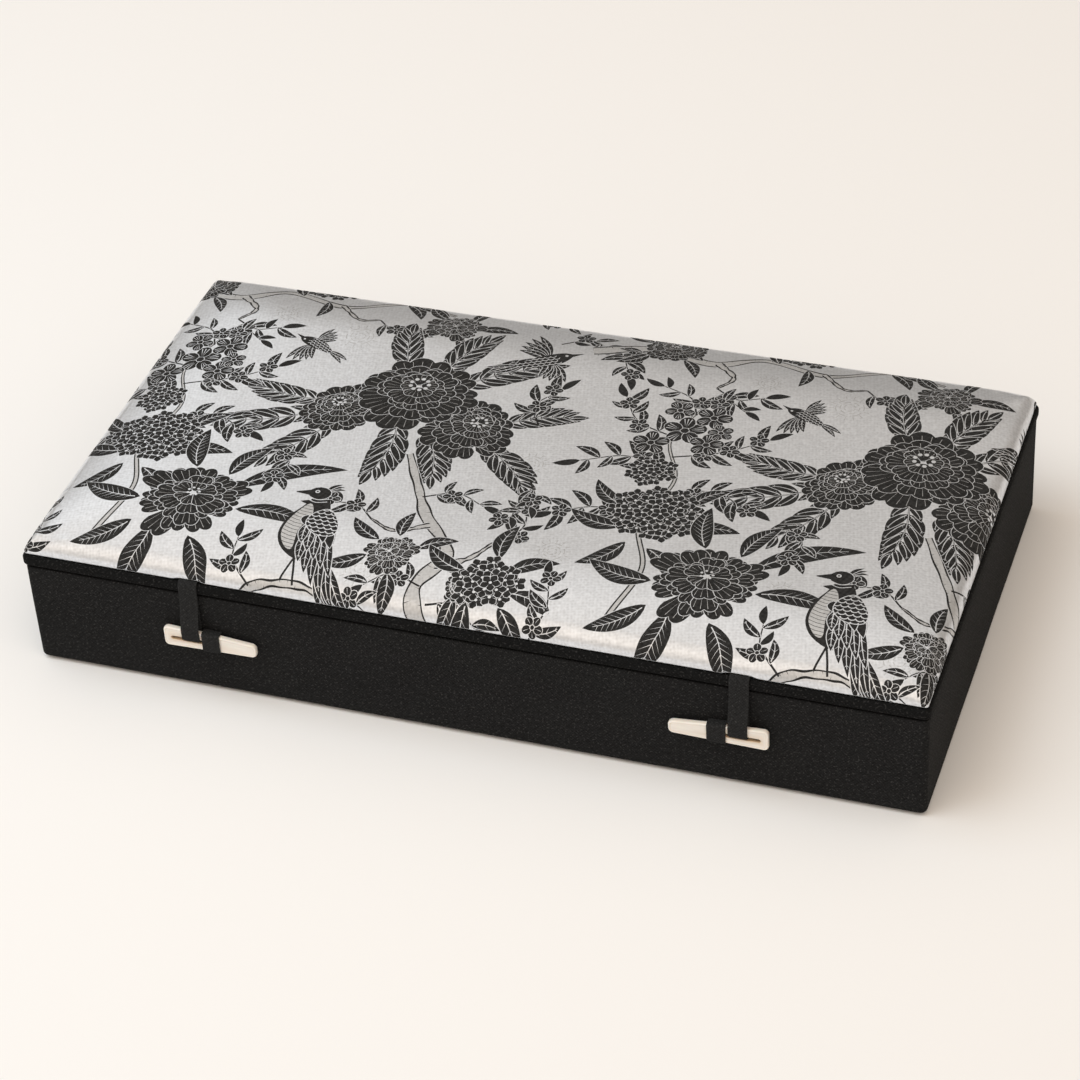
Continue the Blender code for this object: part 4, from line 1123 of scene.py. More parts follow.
# Looks. Lengths are in metres and scales are per metre: pitch of the threads, slub (how uneven they are),
# grain of that, lint's scale and threshold, pebbles of the relief, and slant of the ribs in degrees. Range
# holds the shares of the colour at the lowest and highest thread, and edge its share where it is rubbed light,
# partly wear and partly a painted highlight
BLACK_CLOTH = {"roughness": 0.9, "sheen": 0.014, "specular": 0.05, "pitch": 0.0008, "slub": 2.6, "grain": 620.0,
               "lint": 0.605, "lint_scale": 1000.0, "relief": 0.6, "edge": 3.6, "range": (-6.4, 8.6)}
STRAP_CLOTH = {"roughness": 0.9, "sheen": 0.02, "specular": 0.05, "pitch": 0.0007, "slub": 2.0, "grain": 700.0,
               "lint": 0.64, "lint_scale": 1000.0, "relief": 0.45, "edge": 5.0, "range": (-4.0, 6.0)}
FELT = {"roughness": 1.0, "sheen": 0.3, "specular": 0.1, "pitch": 0.0012, "slub": 1.0, "grain": 900.0,
        "lint": 0.62, "lint_scale": 1100.0, "relief": 0.7, "edge": 1.4, "range": (0.4, 1.5)}
SATIN = {"roughness": 0.34, "metallic": 0.12, "specular": 0.5, "sheen": 0.25, "pitch": 0.0004, "slub": 1.0,
         "grain": 900.0, "slant": 34, "pebbles": 500.0, "relief": 0.08, "range": (0.86, 1.12)}
SILVER_LOOK = {"roughness": 0.3, "metallic": 0.62, "specular": 0.5, "sheen": 0.0, "pitch": 0.00105, "slub": 2.2,
               "grain": 1100.0, "slant": 31, "pebbles": 800.0, "relief": 0.05, "range": (0.7, 1.28)}
FIGURE_LOOK = {"roughness": 0.7, "metallic": 0.0, "specular": 0.12, "sheen": 0.0, "pitch": 0.0014, "slub": 1.2,
               "grain": 1000.0, "slant": -24, "pebbles": 620.0, "relief": 0.3, "range": (-2.2, 4.2)}
FIBREBOARD = ("ShaderNodeTexNoise", {"Scale": 700.0, "Detail": 5.0, "Roughness": 0.7},
              (0.22, 0.2, 0.17), (0.46, 0.43, 0.38), 0.2, 0.0003)
FOAM = ("ShaderNodeTexVoronoi", {"Scale": 900.0}, (0.55, 0.5, 0.38), (0.86, 0.83, 0.72), 0.5, 0.0008)
FELT_COLOUR = (0.03, 0.03, 0.031)


def cached_material(name, maker, *values):
    """A material made once and then found again by its name."""
    return bpy.data.materials.get(name) or maker(name, *values)


def black_cloth():
    """The tray's and the hinge's book cloth."""
    colour = bpy.context.scene.casket_cloth.colour
    return cached_material("black_book_cloth", cloth_material, colour, BLACK_CLOTH)


def strap_cloth():
    """The cloth of straps and keepers."""
    colour = bpy.context.scene.casket_cloth.strap_colour
    return cached_material("woven_strap_cloth", cloth_material, colour, STRAP_CLOTH)


def satin():
    """The lining's satin."""
    return cached_material("lining_satin", brocade_material, bpy.context.scene.casket_lining.colour, SATIN)


def seat_piece(piece, body, material, packed):
    """Give a finished piece its material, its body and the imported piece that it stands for."""
    if material is not None:
        piece.data.materials.append(material)
    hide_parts(packed)
    if body is not None:
        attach(piece, body)


# Name, bearing from the hinge side (clockwise from above) and height in degrees, distance and size in
# metres, power in watts, and kind: a lamp or a fill that lights but shows in no gloss, or a card that only
# shows there
STUDIO_LIGHTS = (
    ("key_left", -112, 56, 1.9, (1.5, 1.5), 14.2, "lamp"),
    ("front_fill", -176, 68, 2.0, (1.6, 1.2), 7.0, "fill"),
    ("band_card", -10, 61.5, 1.8, (2.4, 0.95), 2.6, "card"),
    ("left_card", -45, 33, 2.1, (1.1, 0.8), 1.9, "card"),
)
FLOOR_HALF = 12.0


def studio_walls(look):
    """The room's light: brighter in front than behind, and dimmer near the horizon."""
    world = bpy.data.worlds.new("studio")
    world.use_nodes = True
    tree = world.node_tree
    direction = node(tree, "ShaderNodeSeparateXYZ")
    tree.links.new(node(tree, "ShaderNodeTexCoord").outputs["Generated"], direction.inputs[0])
    front = socket_value(tree, "MULTIPLY_ADD", direction.outputs["Y"], -look.wall_front, 1.0)
    low = node(tree, "ShaderNodeMapRange", {
        "From Min": 0.2, "From Max": 0.6, "To Min": look.wall_low, "To Max": 1.0,
    }, interpolation_type="SMOOTHSTEP")
    tree.links.new(direction.outputs["Z"], low.inputs["Value"])
    both = socket_value(tree, "MULTIPLY", front, low.outputs["Result"])
    background = tree.nodes["Background"]
    background.inputs["Color"].default_value = (*look.wall_colour, 1.0)
    tree.links.new(socket_value(tree, "MULTIPLY", both, look.wall_strength), background.inputs["Strength"])
    return world


def add_light(name, bearing, height, distance, size, power, colour, kind):
    """One of the studio's lights, aimed at the casket."""
    light = bpy.data.lights.new(name, "AREA")
    light.shape = "RECTANGLE"
    light.size, light.size_y = size
    light.energy, light.color = power, colour
    lamp = bpy.data.objects.new(name, light)
    side, lift = math.radians(bearing), math.radians(height)
    place = Vector((math.sin(side) * math.cos(lift), math.cos(side) * math.cos(lift), math.sin(lift)))
    lamp.location = distance * place
    lamp.rotation_mode = "QUATERNION"
    lamp.rotation_quaternion = (-place).to_track_quat("-Z", "Y")
    lamp.visible_diffuse, lamp.visible_glossy, lamp.visible_camera = kind != "card", kind == "card", False
    bpy.context.scene.collection.objects.link(lamp)


def add_camera(look):
    """The camera: it looks at the casket's middle from a bearing and a height, turned about its own sight."""
    azimuth, elevation, roll = look.azimuth, look.elevation, look.roll
    back = np.array((math.sin(azimuth) * math.cos(elevation), -math.cos(azimuth) * math.cos(elevation),
                     math.sin(elevation)))
    right = np.cross((0, 0, 1), back)
    right /= np.linalg.norm(right)
    up = np.cross(back, right)
    turned_right = math.cos(roll) * right + math.sin(roll) * up
    turned_up = math.cos(roll) * up - math.sin(roll) * right
    centre = np.array((0.0, 0.0, TRAY_HIGH.z / 2))
    place = centre - look.view_right * turned_right - look.view_up * turned_up + look.distance * back
    data = bpy.data.cameras.new("photo_view")
    data.lens, data.sensor_width = look.lens, 36.0
    data.clip_start, data.clip_end = 0.05, 30.0
    camera = bpy.data.objects.new("photo_view", data)
    matrix = np.eye(4)
    matrix[:3] = np.column_stack((turned_right, turned_up, back, place))
    camera.matrix_world = Matrix(matrix.tolist())
    bpy.context.scene.collection.objects.link(camera)
    bpy.context.scene.camera = camera


# Settings

Length = partial(FloatProperty, unit="LENGTH")
Angle = partial(FloatProperty, subtype="ANGLE")
Colour = partial(FloatVectorProperty, subtype="COLOR", size=3, min=0.0, max=1.0)


class CasketBrocadeSettings(bpy.types.PropertyGroup):
    """Sizes and colours of the padded top"""

    roll_width: Length(name="Edge roll", description="Plan width of the tight roll along the edge",
                       default=0.0062, min=0.002, max=0.02)
    roll_fullness: FloatProperty(name="Roll fullness", description="How softly the roll runs into the dome",
                                 default=2.0, min=2.0, max=5.0)
    dome_width: Length(name="Dome width", description="How far in from the edge the low dome reaches",
                       default=0.042, min=0.01, max=0.1)
    dome_height: Length(name="Dome height", description="How much the low dome adds in the middle",
                        default=0.0066, min=0.0, max=0.02)
    hem: Length(name="Hem radius", description="Radius where the cloth turns in under the pad",
                default=0.0008, min=0.0002, max=0.003)
    turn_in: Length(name="Turn-in", description="Width of the cloth under the pad",
                    default=0.012, min=0.002, max=0.05)
    thickness: Length(name="Cloth", description="Thickness of the brocade",
                      default=0.0005, min=0.0001, max=0.002)
    corner_radius: Length(name="Corner", description="Radius of the pad's corners in plan",
                          default=0.0013, min=0.0005, max=0.02)
    crease: Length(name="Creases", description="Depth of the drawn folds at the corners",
                   default=0.0004, min=0.0, max=0.002)
    ripple: Length(name="Ripple", description="Height of the slow waves of the stretched cloth",
                   default=0.00006, min=0.0, max=0.001)
    strap_lift: Length(name="Strap lift", description="How far the hem rides up over a strap's end",
                       default=0.0009, min=0.0, max=0.004)
    repeat: Length(name="Repeat", description="Width of one repeat of the woven pattern",
                   default=0.232, min=0.05, max=1.0)
    repeat_start: Length(name="Repeat start", description="Middle of the left repeat, from the pad's middle",
                         default=-0.112, min=-1.0, max=1.0)
    seed: IntProperty(name="Seed", description="Seed of the petals' and leaves' small differences",
                      default=7, min=0)
    silver: Colour(name="Ground", description="Colour of the silver ground", default=(0.67, 0.7, 0.748))
    figure: Colour(name="Figures", description="Colour of the dark figures", default=(0.0098, 0.0099, 0.0101))
    pale: Colour(name="Pale fill", description="Colour inside branches and wings",
                 default=(0.50, 0.51, 0.525))
    ghost: Colour(name="Faint figures", description="Colour of the faint figures",
                  default=(0.53, 0.55, 0.575))


class CasketClothSettings(bpy.types.PropertyGroup):
    """Sizes and colours of the book cloth"""

    thickness: Length(name="Cloth", description="Thickness of the book cloth",
                      default=0.0006, min=0.0002, max=0.002)
    corner_radius: Length(name="Corner", description="Radius of the upright corners",
                          default=0.003, min=0.0008, max=0.02)
    floor_radius: Length(name="Lower edge", description="Radius along the floor",
                         default=0.0022, min=0.0008, max=0.01)
    rim_radius: Length(name="Rim edge", description="Radius along the rim",
                       default=0.0016, min=0.0007, max=0.002)
    lid_radius: Length(name="Lid edge", description="Radius along the lid's edges",
                       default=0.0016, min=0.0008, max=0.0027)
    rim_width: Length(name="Rim width", description="Width of the covered rim",
                      default=0.0048, min=0.003, max=0.01)
    rim_turn_in: Length(name="Rim turn-in", description="How far the cloth runs down inside",
                        default=0.012, min=0.002, max=0.03)
    floor_turn_in: Length(name="Floor turn-in", description="How far the cloth runs in below",
                          default=0.015, min=0.004, max=0.03)
    lid_turn_in: Length(name="Lid turn-in", description="How far the cloth runs in on the lid",
                        default=0.014, min=0.004, max=0.03)
    ripple: Length(name="Ripple", description="Slow waves of the cloth on its boards",
                   default=0.00006, min=0.0, max=0.001)
    colour: Colour(name="Book cloth", description="Colour of the black cloth",
                   default=(0.0036, 0.0037, 0.0039))
    # The lid's cloth is a darker copy of the book cloth: painted shade under the pad's overhang
    lid_shaded_colour: Colour(name="Lid cloth", description="Colour of the black cloth on the lid",
                       default=(0.002, 0.0021, 0.0022))
    strap_colour: Colour(name="Strap cloth", description="Colour of straps and keepers",
                         default=(0.0058, 0.006, 0.0063))


class CasketFasteningSettings(bpy.types.PropertyGroup):
    """Sizes and colours of straps, keepers and toggles"""

    strap_cloth: Length(name="Strap", description="Thickness of a strap",
                        default=0.00055, min=0.0003, max=0.002)
    strap_gap: Length(name="Gap", description="Air between touching layers",
                      default=0.00012, min=0.00005, max=0.001)
    strap_tuck: Length(name="Tuck", description="Length of a strap under the pad",
                       default=0.009, min=0.002, max=0.03)
    strap_turn: Length(name="Lid turn", description="Radius at which a strap goes round the lid's edge",
                       default=0.0016, min=0.001, max=0.004)
    strap_bend: Length(name="Bend", description="Radius of a strap's turn in the slot",
                       default=0.0008, min=0.0003, max=0.002)
    keeper_bend: Length(name="Keeper bend", description="Radius of a keeper's corners",
                        default=0.0012, min=0.0004, max=0.003)
    slot_length: Length(name="Slot length", description="Length of a toggle's slot",
                        default=0.0152, min=0.009, max=0.03)
    slot_height: Length(name="Slot height", description="Height of a toggle's slot",
                        default=0.0018, min=0.0008, max=0.004)
    slot_end_wall: Length(name="Slot wall", description="Bone past the slot's end",
                          default=0.0034, min=0.001, max=0.01)
    slot_drop: Length(name="Slot drop", description="How far the slot lies below the toggle's middle",
                      default=0.0006, min=0.0, max=0.004)
    toggle_thin_end: Length(name="Thin end", description="Height of a toggle's thin end",
                            default=0.0064, min=0.003, max=0.02)
    toggle_rise: Length(name="Lower rise", description="Rise of the lower edge to the thin end",
                        default=0.001, min=0.0, max=0.004)
    toggle_shoulder: FloatProperty(name="Shoulder",
                                   description="Share of a toggle's length up to its shoulder",
                                   default=0.6, min=0.3, max=0.9, subtype="FACTOR")
    toggle_fall: Length(name="Shoulder fall", description="Fall of the upper edge to the shoulder",
                        default=0.0014, min=0.0, max=0.004)
    toggle_bevel: Length(name="Bevel", description="Width of the bevel round a toggle's faces",
                         default=0.00095, min=0.0003, max=0.0016)
    toggle_dish: Length(name="Dish", description="How far a toggle's face lies below its rim",
                        default=0.00014, min=0.0, max=0.0005)
    toggle_radius: Length(name="Thick end radius", description="Corner radius of a toggle's thick end",
                          default=0.0022, min=0.0005, max=0.004)
    toggle_thin_radius: Length(name="Thin end radius", description="Corner radius of a toggle's thin end",
                               default=0.0024, min=0.0005, max=0.0042)
    bone: Colour(name="Bone", description="Colour of the toggles", default=(0.81, 0.785, 0.745))


class CasketLiningSettings(bpy.types.PropertyGroup):
    """Sizes and colours of the satin lining"""

    lining_edge: Length(name="Panel edge", description="Radius along a lining panel's edges",
                        default=0.0005, min=0.0002, max=0.001)
    divider_edge: Length(name="Divider edge", description="Radius along a divider's edges",
                         default=0.0012, min=0.0003, max=0.0015)
    pad_crown: Length(name="Pad crown", description="Crown of the floor pad and the lid's lining",
                      default=0.0007, min=0.0, max=0.003)
    colour: Colour(name="Satin", description="Colour of the satin", default=(0.56, 0.55, 0.54))


class CasketStageSettings(bpy.types.PropertyGroup):
    """Camera, floor and light of the studio"""

    azimuth: Angle(name="Azimuth", description="Bearing of the camera from the front",
                   default=math.radians(20.8043))
    elevation: Angle(name="Elevation", description="Height of the camera above the horizon",
                     default=math.radians(38.0187))
    roll: Angle(name="Roll", description="Turn of the camera about its line of sight",
                default=math.radians(-3.9239))
    distance: Length(name="Distance", description="From the casket's middle to the camera",
                     default=1.44996, min=0.2)
    view_right: Length(name="View right", description="How far the camera stands left of the middle",
                       default=0.001155)
    view_up: Length(name="View up", description="How far the camera stands below the middle",
                    default=0.002217)
    lens: FloatProperty(name="Lens", description="Focal length in millimetres", default=108.365, min=10.0)
    floor_colour: Colour(name="Floor", description="Colour of the floor", default=(0.845, 0.852, 0.868))
    wall_colour: Colour(name="Room light", description="Colour of the light from all round",
                        default=(1.0, 0.866, 0.729))
    wall_strength: FloatProperty(name="Room strength", description="Strength of the light from all round",
                                 default=0.895, min=0.0)
    wall_front: FloatProperty(name="Front share", description="How much brighter the room is in front",
                              default=0.7, min=0.0, max=0.9)
    wall_low: FloatProperty(name="Horizon share", description="Brightness near the horizon",
                            default=0.45, min=0.0, max=1.0)
    light_colour: Colour(name="Lamps", description="Colour of the lamps", default=(0.657, 0.854, 1.0))
    card_colour: Colour(name="Cards", description="Colour of the cards that show in gloss",
                        default=(0.93, 0.975, 1.0))


# Operators

def inner_face(form, border_places, half):
    """The brocade's inner face: a coarser net with the same border, its points, directions and triangles."""
    helpers = helper_points(half, form.lengths[-1] / MM, 2.2, 9.0)
    places, faces, owners = triangulate([border_places], helpers)
    kept = np.array([face for face, owner in zip(faces, owners) if owner])
    u, v = places.T * MM
    normals = form.normals(u, v)
    return places, form.points(u, v) - form.look.thickness * normals, normals, kept[:, ::-1]


def turned_in_rows(form, border_points, border_v):
    """Rows of points that carry the brocade's border round its hem, in under the pad and back."""
    look = form.look
    hem, thick = look.hem, look.thickness
    under = np.array((0.3, 0.65, 1.0))
    section = np.vstack((
        arc((hem, hem), hem, 180, 270, 4)[1:],
        np.column_stack((look.turn_in * under, np.zeros(3))),
        np.column_stack((look.turn_in * under[::-1], np.full(3, thick))),
        arc((hem, hem), hem - thick, 270, 180, 3)[:-1],
    ))
    flat = border_points[:, :2] - form.middle
    lift = form.strap_lift(flat[:, 0], border_v)
    rows = []
    for inset, height in section:
        plan = flat * (1 - inset / form.half) + form.middle
        rows.append(np.column_stack((plan, form.base + height + lift)))
    return np.array(rows)


class CASKET_OT_brocade(bpy.types.Operator):
    """Weave the brocade and stretch it over the pad"""

    bl_idname = "casket.brocade"
    bl_label = "Brocade cover"

    def execute(self, context):
        """Draw three repeats, weave them as flat triangles, lift these on to the pad and close the cloth."""
        look = context.scene.casket_brocade
        form = PadForm(PAD_LOW, PAD_HIGH, look)
        cloth = ClothDrawing()
        for copies in (-1, 0, 1):
            cloth.random = np.random.default_rng(look.seed)
            draw_repeat(cloth.placed((look.repeat_start + copies * look.repeat) / MM, 0))
        half = form.cloth_half / MM
        places, triangles, threads = weave(cloth, half, form.lengths[-1] / MM)
        u, v = places.T * MM
        border = perimeter_order(places, half)
        points = form.points(u, v)
        inner_places, inner_points, inner_normals, inner = inner_face(form, places[border], half)
        rim = perimeter_order(inner_places, half)
        if len(rim) != len(border):
            raise RuntimeError(f"the brocade's faces have {len(border)} and {len(rim)} border points")

        rows = turned_in_rows(form, points[border], v[border])
        rows_start, inner_start = len(points), len(points) + rows[..., 0].size
        between_faces = np.arange(rows_start, inner_start).reshape(len(rows), -1)
        order = np.vstack((border, between_faces, inner_start + rim))
        after = np.roll(order, -1, axis=1)
        bands = np.stack((order[:-1], order[1:], after[1:], after[:-1]), -1).reshape(-1, 4)
        down = np.tile((0.0, 0.0, -1.0), (between_faces.size, 1))
        uv = np.vstack((places, np.tile(places[border], (len(rows), 1)), inner_places)) * MM
        piece = make_piece("brocade_top", np.vstack((points, rows.reshape(-1, 3), inner_points)),
                           [triangles, bands, inner + inner_start], uv)
        directions = np.vstack((form.normals(u, v), down, -inner_normals))
        piece.data.normals_split_custom_set_from_vertices(directions.tolist())
        for name, colour, base in (
            ("silver_ground", look.silver, SILVER_LOOK), ("woven_figure", look.figure, FIGURE_LOOK),
            ("pale_thread", look.pale, SILVER_LOOK | {"roughness": 0.4, "metallic": 0.5}),
            ("faint_thread", look.ghost, SILVER_LOOK),
        ):
            piece.data.materials.append(cached_material(name, brocade_material, colour, base))
        slots = np.zeros(len(piece.data.polygons), np.int32)
        slots[:len(threads)] = threads
        piece.data.polygons.foreach_set("material_index", slots)
        seat_piece(piece, "lid", None, "brocade_cover")
        return {"FINISHED"}


class CASKET_OT_foam(bpy.types.Operator):
    """Cut the foam that fills the brocade"""

    bl_idname = "casket.foam"
    bl_label = "Foam"

    def execute(self, context):
        """Lay a net under the pad's form, denser towards its edges, and close it down to the card."""
        columns, rows = 72, 48
        reach, below, least = 0.985, 0.0011, 0.0002
        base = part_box("foam_pad")[0].z
        form = PadForm(PAD_LOW, PAD_HIGH, context.scene.casket_brocade)
        u, v = (np.sin(np.linspace(-1, 1, count) * math.pi / 2) * size * reach
                for count, size in zip((columns, rows), form.cloth_half))
        u, v = (axis.ravel() for axis in np.meshgrid(u, v))
        points = form.points(u, v) - below * form.normals(u, v)
        points[:, 2] = np.maximum(points[:, 2], base + least)
        under = points * (1, 1, 0) + (0, 0, base)
        faces = grid_faces(rows, columns, wrap_columns=False)
        grid = np.arange(rows * columns).reshape(rows, columns)
        edge = np.concatenate((grid[0], grid[1:, -1], grid[-1, -2::-1], grid[-2:0:-1, 0]))
        after = np.roll(edge, -1)
        side = np.stack((edge, edge + grid.size, after + grid.size, after), -1)
        piece = make_piece("foam_fill", np.vstack((points, under)), [faces, faces[:, ::-1] + grid.size, side],
                           np.tile(np.stack((u, v), -1), (2, 1)), sharp=50)
        turn_faces_out(piece)
        seat_piece(piece, "lid", cached_material("foam", speckled_material, *FOAM), "foam_pad")
        return {"FINISHED"}


class CASKET_OT_tray_cloth(bpy.types.Operator):
    """Wrap the tray in black book cloth"""

    bl_idname = "casket.tray_cloth"
    bl_label = "Tray cloth"

    def execute(self, context):
        """Carry the section from under the floor up the wall, over the rim and down inside."""
        look = context.scene.casket_cloth
        height = TRAY_HIGH.z - TRAY_LOW.z
        floor, rim, width = look.floor_radius, look.rim_radius, look.rim_width
        section = np.vstack((
            ((look.floor_turn_in, 0.0),),
            straight((look.floor_turn_in, 0.0), (floor, 0.0)),
            arc((floor, floor), floor, 270, 180),
            straight((0, floor), (0, height - rim)),
            arc((rim, height - rim), rim, 180, 90),
            arc((width - rim, height - rim), rim, 90, 0),
            straight((width, height - rim), (width, height - look.rim_turn_in)),
            ((width, height - look.rim_turn_in),),
        ))
        # Painted highlight on the rim's rounding, and painted shade at its top under the lid
        highlight_and_shade_heights = (TRAY_HIGH.z - 1.3 * rim, TRAY_HIGH.z)
        piece = wrapped_cloth("tray_book_cloth", section, (TRAY_LOW, TRAY_HIGH), look, highlight_and_shade_heights)
        seat_piece(piece, "case", black_cloth(), "body_cover_cloth")
        return {"FINISHED"}


class CASKET_OT_lid_cloth(bpy.types.Operator):
    """Wrap the lid board in black book cloth"""

    bl_idname = "casket.lid_cloth"
    bl_label = "Lid cloth"

    def execute(self, context):
        """Carry the section from under the lid round its edge and in on top."""
        look = context.scene.casket_cloth
        height, edge, turn_in = LID_HIGH.z - LID_LOW.z, look.lid_radius, look.lid_turn_in
        section = np.vstack((
            ((turn_in, 0.0),), straight((turn_in, 0.0), (edge, 0.0)),
            arc((edge, edge), edge, 270, 180), arc((edge, height - edge), edge, 180, 90),
            straight((edge, height), (turn_in, height)), ((turn_in, height),),
        ))
        # Painted highlight along the lid's top edge, and painted shade along its lower edge over the groove
        highlight_and_shade_heights = (LID_HIGH.z - 0.5 * edge, LID_LOW.z)
        piece = wrapped_cloth("lid_book_cloth", section, (LID_LOW, LID_HIGH), look, highlight_and_shade_heights)
        # A darker copy of the book cloth, as painted shade under the pad's overhang
        material = cached_material("lid_book_cloth", cloth_material, look.lid_shaded_colour, BLACK_CLOTH)
        seat_piece(piece, "lid", material, "lid_cover_cloth")
        return {"FINISHED"}


def rounded(corners, radii, steps=8):
    """A polygon whose corners are arcs that touch both of their sides."""
    corners = np.asarray(corners, float)
    points = []
    radii = np.broadcast_to(radii, len(corners))
    around = zip(np.roll(corners, 1, 0), corners, np.roll(corners, -1, 0), radii)
    for before, here, after, radius in around:
        back = (before - here) / np.linalg.norm(before - here)
        ahead = (after - here) / np.linalg.norm(after - here)
        half_angle = math.acos(np.clip(back @ ahead, -1, 1)) / 2
        middle = here + (back + ahead) / np.linalg.norm(back + ahead) * radius / math.sin(half_angle)
        reach = radius / math.tan(half_angle)
        first, last = here + back * reach - middle, here + ahead * reach - middle
        start, end = math.atan2(first[1], first[0]), math.atan2(last[1], last[0])
        turn = (end - start + math.pi) % (2 * math.pi) - math.pi
        points.append(middle + radius * toward(start + turn * np.linspace(0, 1, steps + 1)))
    return np.vstack(points)


def toggle_outline(length, wide, look):
    """A toggle's outline round its middle, as (x, z): thin end towards +X, a shoulder on its upper edge."""
    half, top = length / 2, wide / 2
    low = -top + look.toggle_rise
    shoulder = (-half + look.toggle_shoulder * length, top - look.toggle_fall)
    corners = ((-half, -top), (half, low), (half, low + look.toggle_thin_end), shoulder, (-half, top))
    thick_end, thin_end, shoulder_radius = look.toggle_radius, look.toggle_thin_radius, 0.02
    return rounded(corners, (thick_end, thin_end, thin_end, shoulder_radius, thick_end))


def toggle_slot(length, look):
    """The outline of a toggle's slot, whose ends are round."""
    x, z = look.slot_length / 2, look.slot_height / 2
    slot = rounded(((-x, -z), (x, -z), (x, z), (-x, z)), 0.98 * z)
    return slot + (-length / 2 + look.slot_end_wall + x, -look.slot_drop)


def between(outer, hole):
    """Triangles of the flat area between two outlines, as places in the two put together."""
    places, faces, owners = triangulate([outer, hole], np.zeros((0, 2)))
    joined = np.vstack((outer, hole))
    nearest = np.array([np.argmin(np.sum((joined - place) ** 2, axis=1)) for place in places])
    return np.array([nearest[list(face)] for face, owner in zip(faces, owners) if owner == [0]])


def carved_rings(flat, rows):
    """An outline grown outwards and laid at a depth for each (distance, depth, share of painted tan shade) row:
    points and their shares of painted shade.
    """
    rings = []
    for distance, depth, tan in rows:
        at = grown(flat, distance)
        rings.append(np.column_stack((at[:, 0], np.full(len(at), depth), at[:, 1], np.full(len(at), tan))))
    return np.vstack(rings)


class CASKET_OT_toggles(bpy.types.Operator):
    """Carve the two bone toggles"""

    bl_idname = "casket.toggles"
    bl_label = "Toggles"

    def execute(self, context):
        """Stack rings of the outline and of the slot from front to back, and fill the two faces between."""
        look = context.scene.casket_fastening
        bevel, dish, lip = look.toggle_bevel, look.toggle_dish, 0.00022
        for side, sign in SIDES.items():
            low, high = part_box(f"toggle_{side}")
            length, wide, thick = high.x - low.x, high.z - low.z, high.y - low.y
            outline, slot = toggle_outline(length, wide, look), toggle_slot(length, look)
            # Distance in from the outline, or out from the slot, depth below the front, and share of painted
            # tan shade
            outer = ((1.5 * bevel, dish, 0.0), (1.15 * bevel, dish, 0.3), (0.98 * bevel, 0.3 * dish, 0.12),
                     (0.8 * bevel, 0.0, 0.0), (0.45 * bevel, 0.00008, 0.0), (0.18 * bevel, 0.00032, 0.05),
                     (0.0, 0.0008, 0.2))
            outer += tuple((inset, thick - depth, tan) for inset, depth, tan in reversed(outer))
            inner = ((lip, dish, 0.45), (0.00005, dish + 0.00016, 0.7), (0.0, 0.0005, 1.0),
                     (0.0, thick / 2, 1.0))
            inner += tuple((inset, thick - depth, tan) for inset, depth, tan in reversed(inner[:-1]))
            rings = np.vstack((carved_rings(outline, [(-inset, depth, tan) for inset, depth, tan in outer]),
                               carved_rings(slot, inner)))
            count, holes = len(outline), len(slot)
            start = len(outer) * count
            faces = np.vstack((grid_faces(len(outer), count), grid_faces(len(inner), holes)[:, ::-1] + start))
            face = between(grown(outline, -1.5 * bevel), grown(slot, lip))
            front = np.where(face < count, face, face - count + start)
            last, last_hole = (len(outer) - 1) * count, start + (len(inner) - 1) * holes
            back = np.where(face < count, face + last, face - count + last_hole)
            points = rings[:, :3] * (-sign, 1, 1) + ((low.x + high.x) / 2, low.y, (low.z + high.z) / 2)
            piece = make_piece(f"bone_toggle_{side}", points, [faces, front, back[:, ::-1]], sharp=24)
            turn_faces_out(piece)
            # Painted shade in tan: full in the slot, a little round the bevel and edges
            mark(piece, "tan", rings[:, 3])
            bone = cached_material("polished_bone", bone_material, look.bone)
            seat_piece(piece, f"toggle_{side}", bone, f"toggle_{side}")
        return {"FINISHED"}


class CASKET_OT_straps(bpy.types.Operator):
    """Fold the two straps: under the pad, over the lid's edge, through the toggle and back"""

    bl_idname = "casket.straps"
    bl_label = "Straps"

    def execute(self, context):
        """Carry one path per strap: off the lid's edge, forward to the toggle's face, through it and back."""
        look = context.scene.casket_fastening
        cloth, gap, bend, edge = look.strap_cloth, look.strap_gap, look.strap_bend, look.strap_turn
        y, z = LID_LOW.y + edge, LID_HIGH.z - edge
        inner = edge + gap + cloth / 2
        outer = inner + cloth + gap
        tuck_y, outer_y = y + look.strap_tuck, y - outer
        for side in SIDES:
            low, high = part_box(f"strap_{side}")
            toggle_low, toggle_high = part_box(f"toggle_{side}")
            back_y = toggle_high.y + gap + cloth / 2
            front_y = toggle_low.y - gap - cloth / 2
            slot_z = (toggle_low.z + toggle_high.z) / 2 - look.slot_drop
            out, drop = outer_y - front_y, LID_LOW.z - toggle_high.z
            knee = through(((outer_y, LID_LOW.z), (outer_y - 0.22 * out, LID_LOW.z - 0.35 * drop),
                            (front_y + 0.3 * out, LID_LOW.z - 0.72 * drop), (front_y, toggle_high.z),
                            (front_y, slot_z + 2 * bend)), 30)
            path = np.vstack((
                ((tuck_y, z + outer),),
                straight((tuck_y, z + outer), (y, z + outer), 0.002),
                arc((y, z), outer, 90, 180, 8),
                straight((outer_y, z), (outer_y, LID_LOW.z), 0.0012),
                knee[:-1],
                arc((front_y + bend, slot_z + bend), bend, 180, 270, 5),
                arc((back_y - bend, slot_z + bend), bend, 270, 360, 5),
                straight((back_y, slot_z + bend), (y - inner, z), 0.002),
                arc((y, z), inner, 180, 90, 8),
                straight((y, z + inner), (tuck_y, z + inner), 0.002),
                ((tuck_y, z + inner),),
            ))
            middle_x = (low.x + high.x) / 2
            piece = ribbon(f"cloth_strap_{side}", path, high.x - low.x, cloth, middle_x)
            seat_piece(piece, None, strap_cloth(), f"strap_{side}")
            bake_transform(piece)
        return {"FINISHED"}


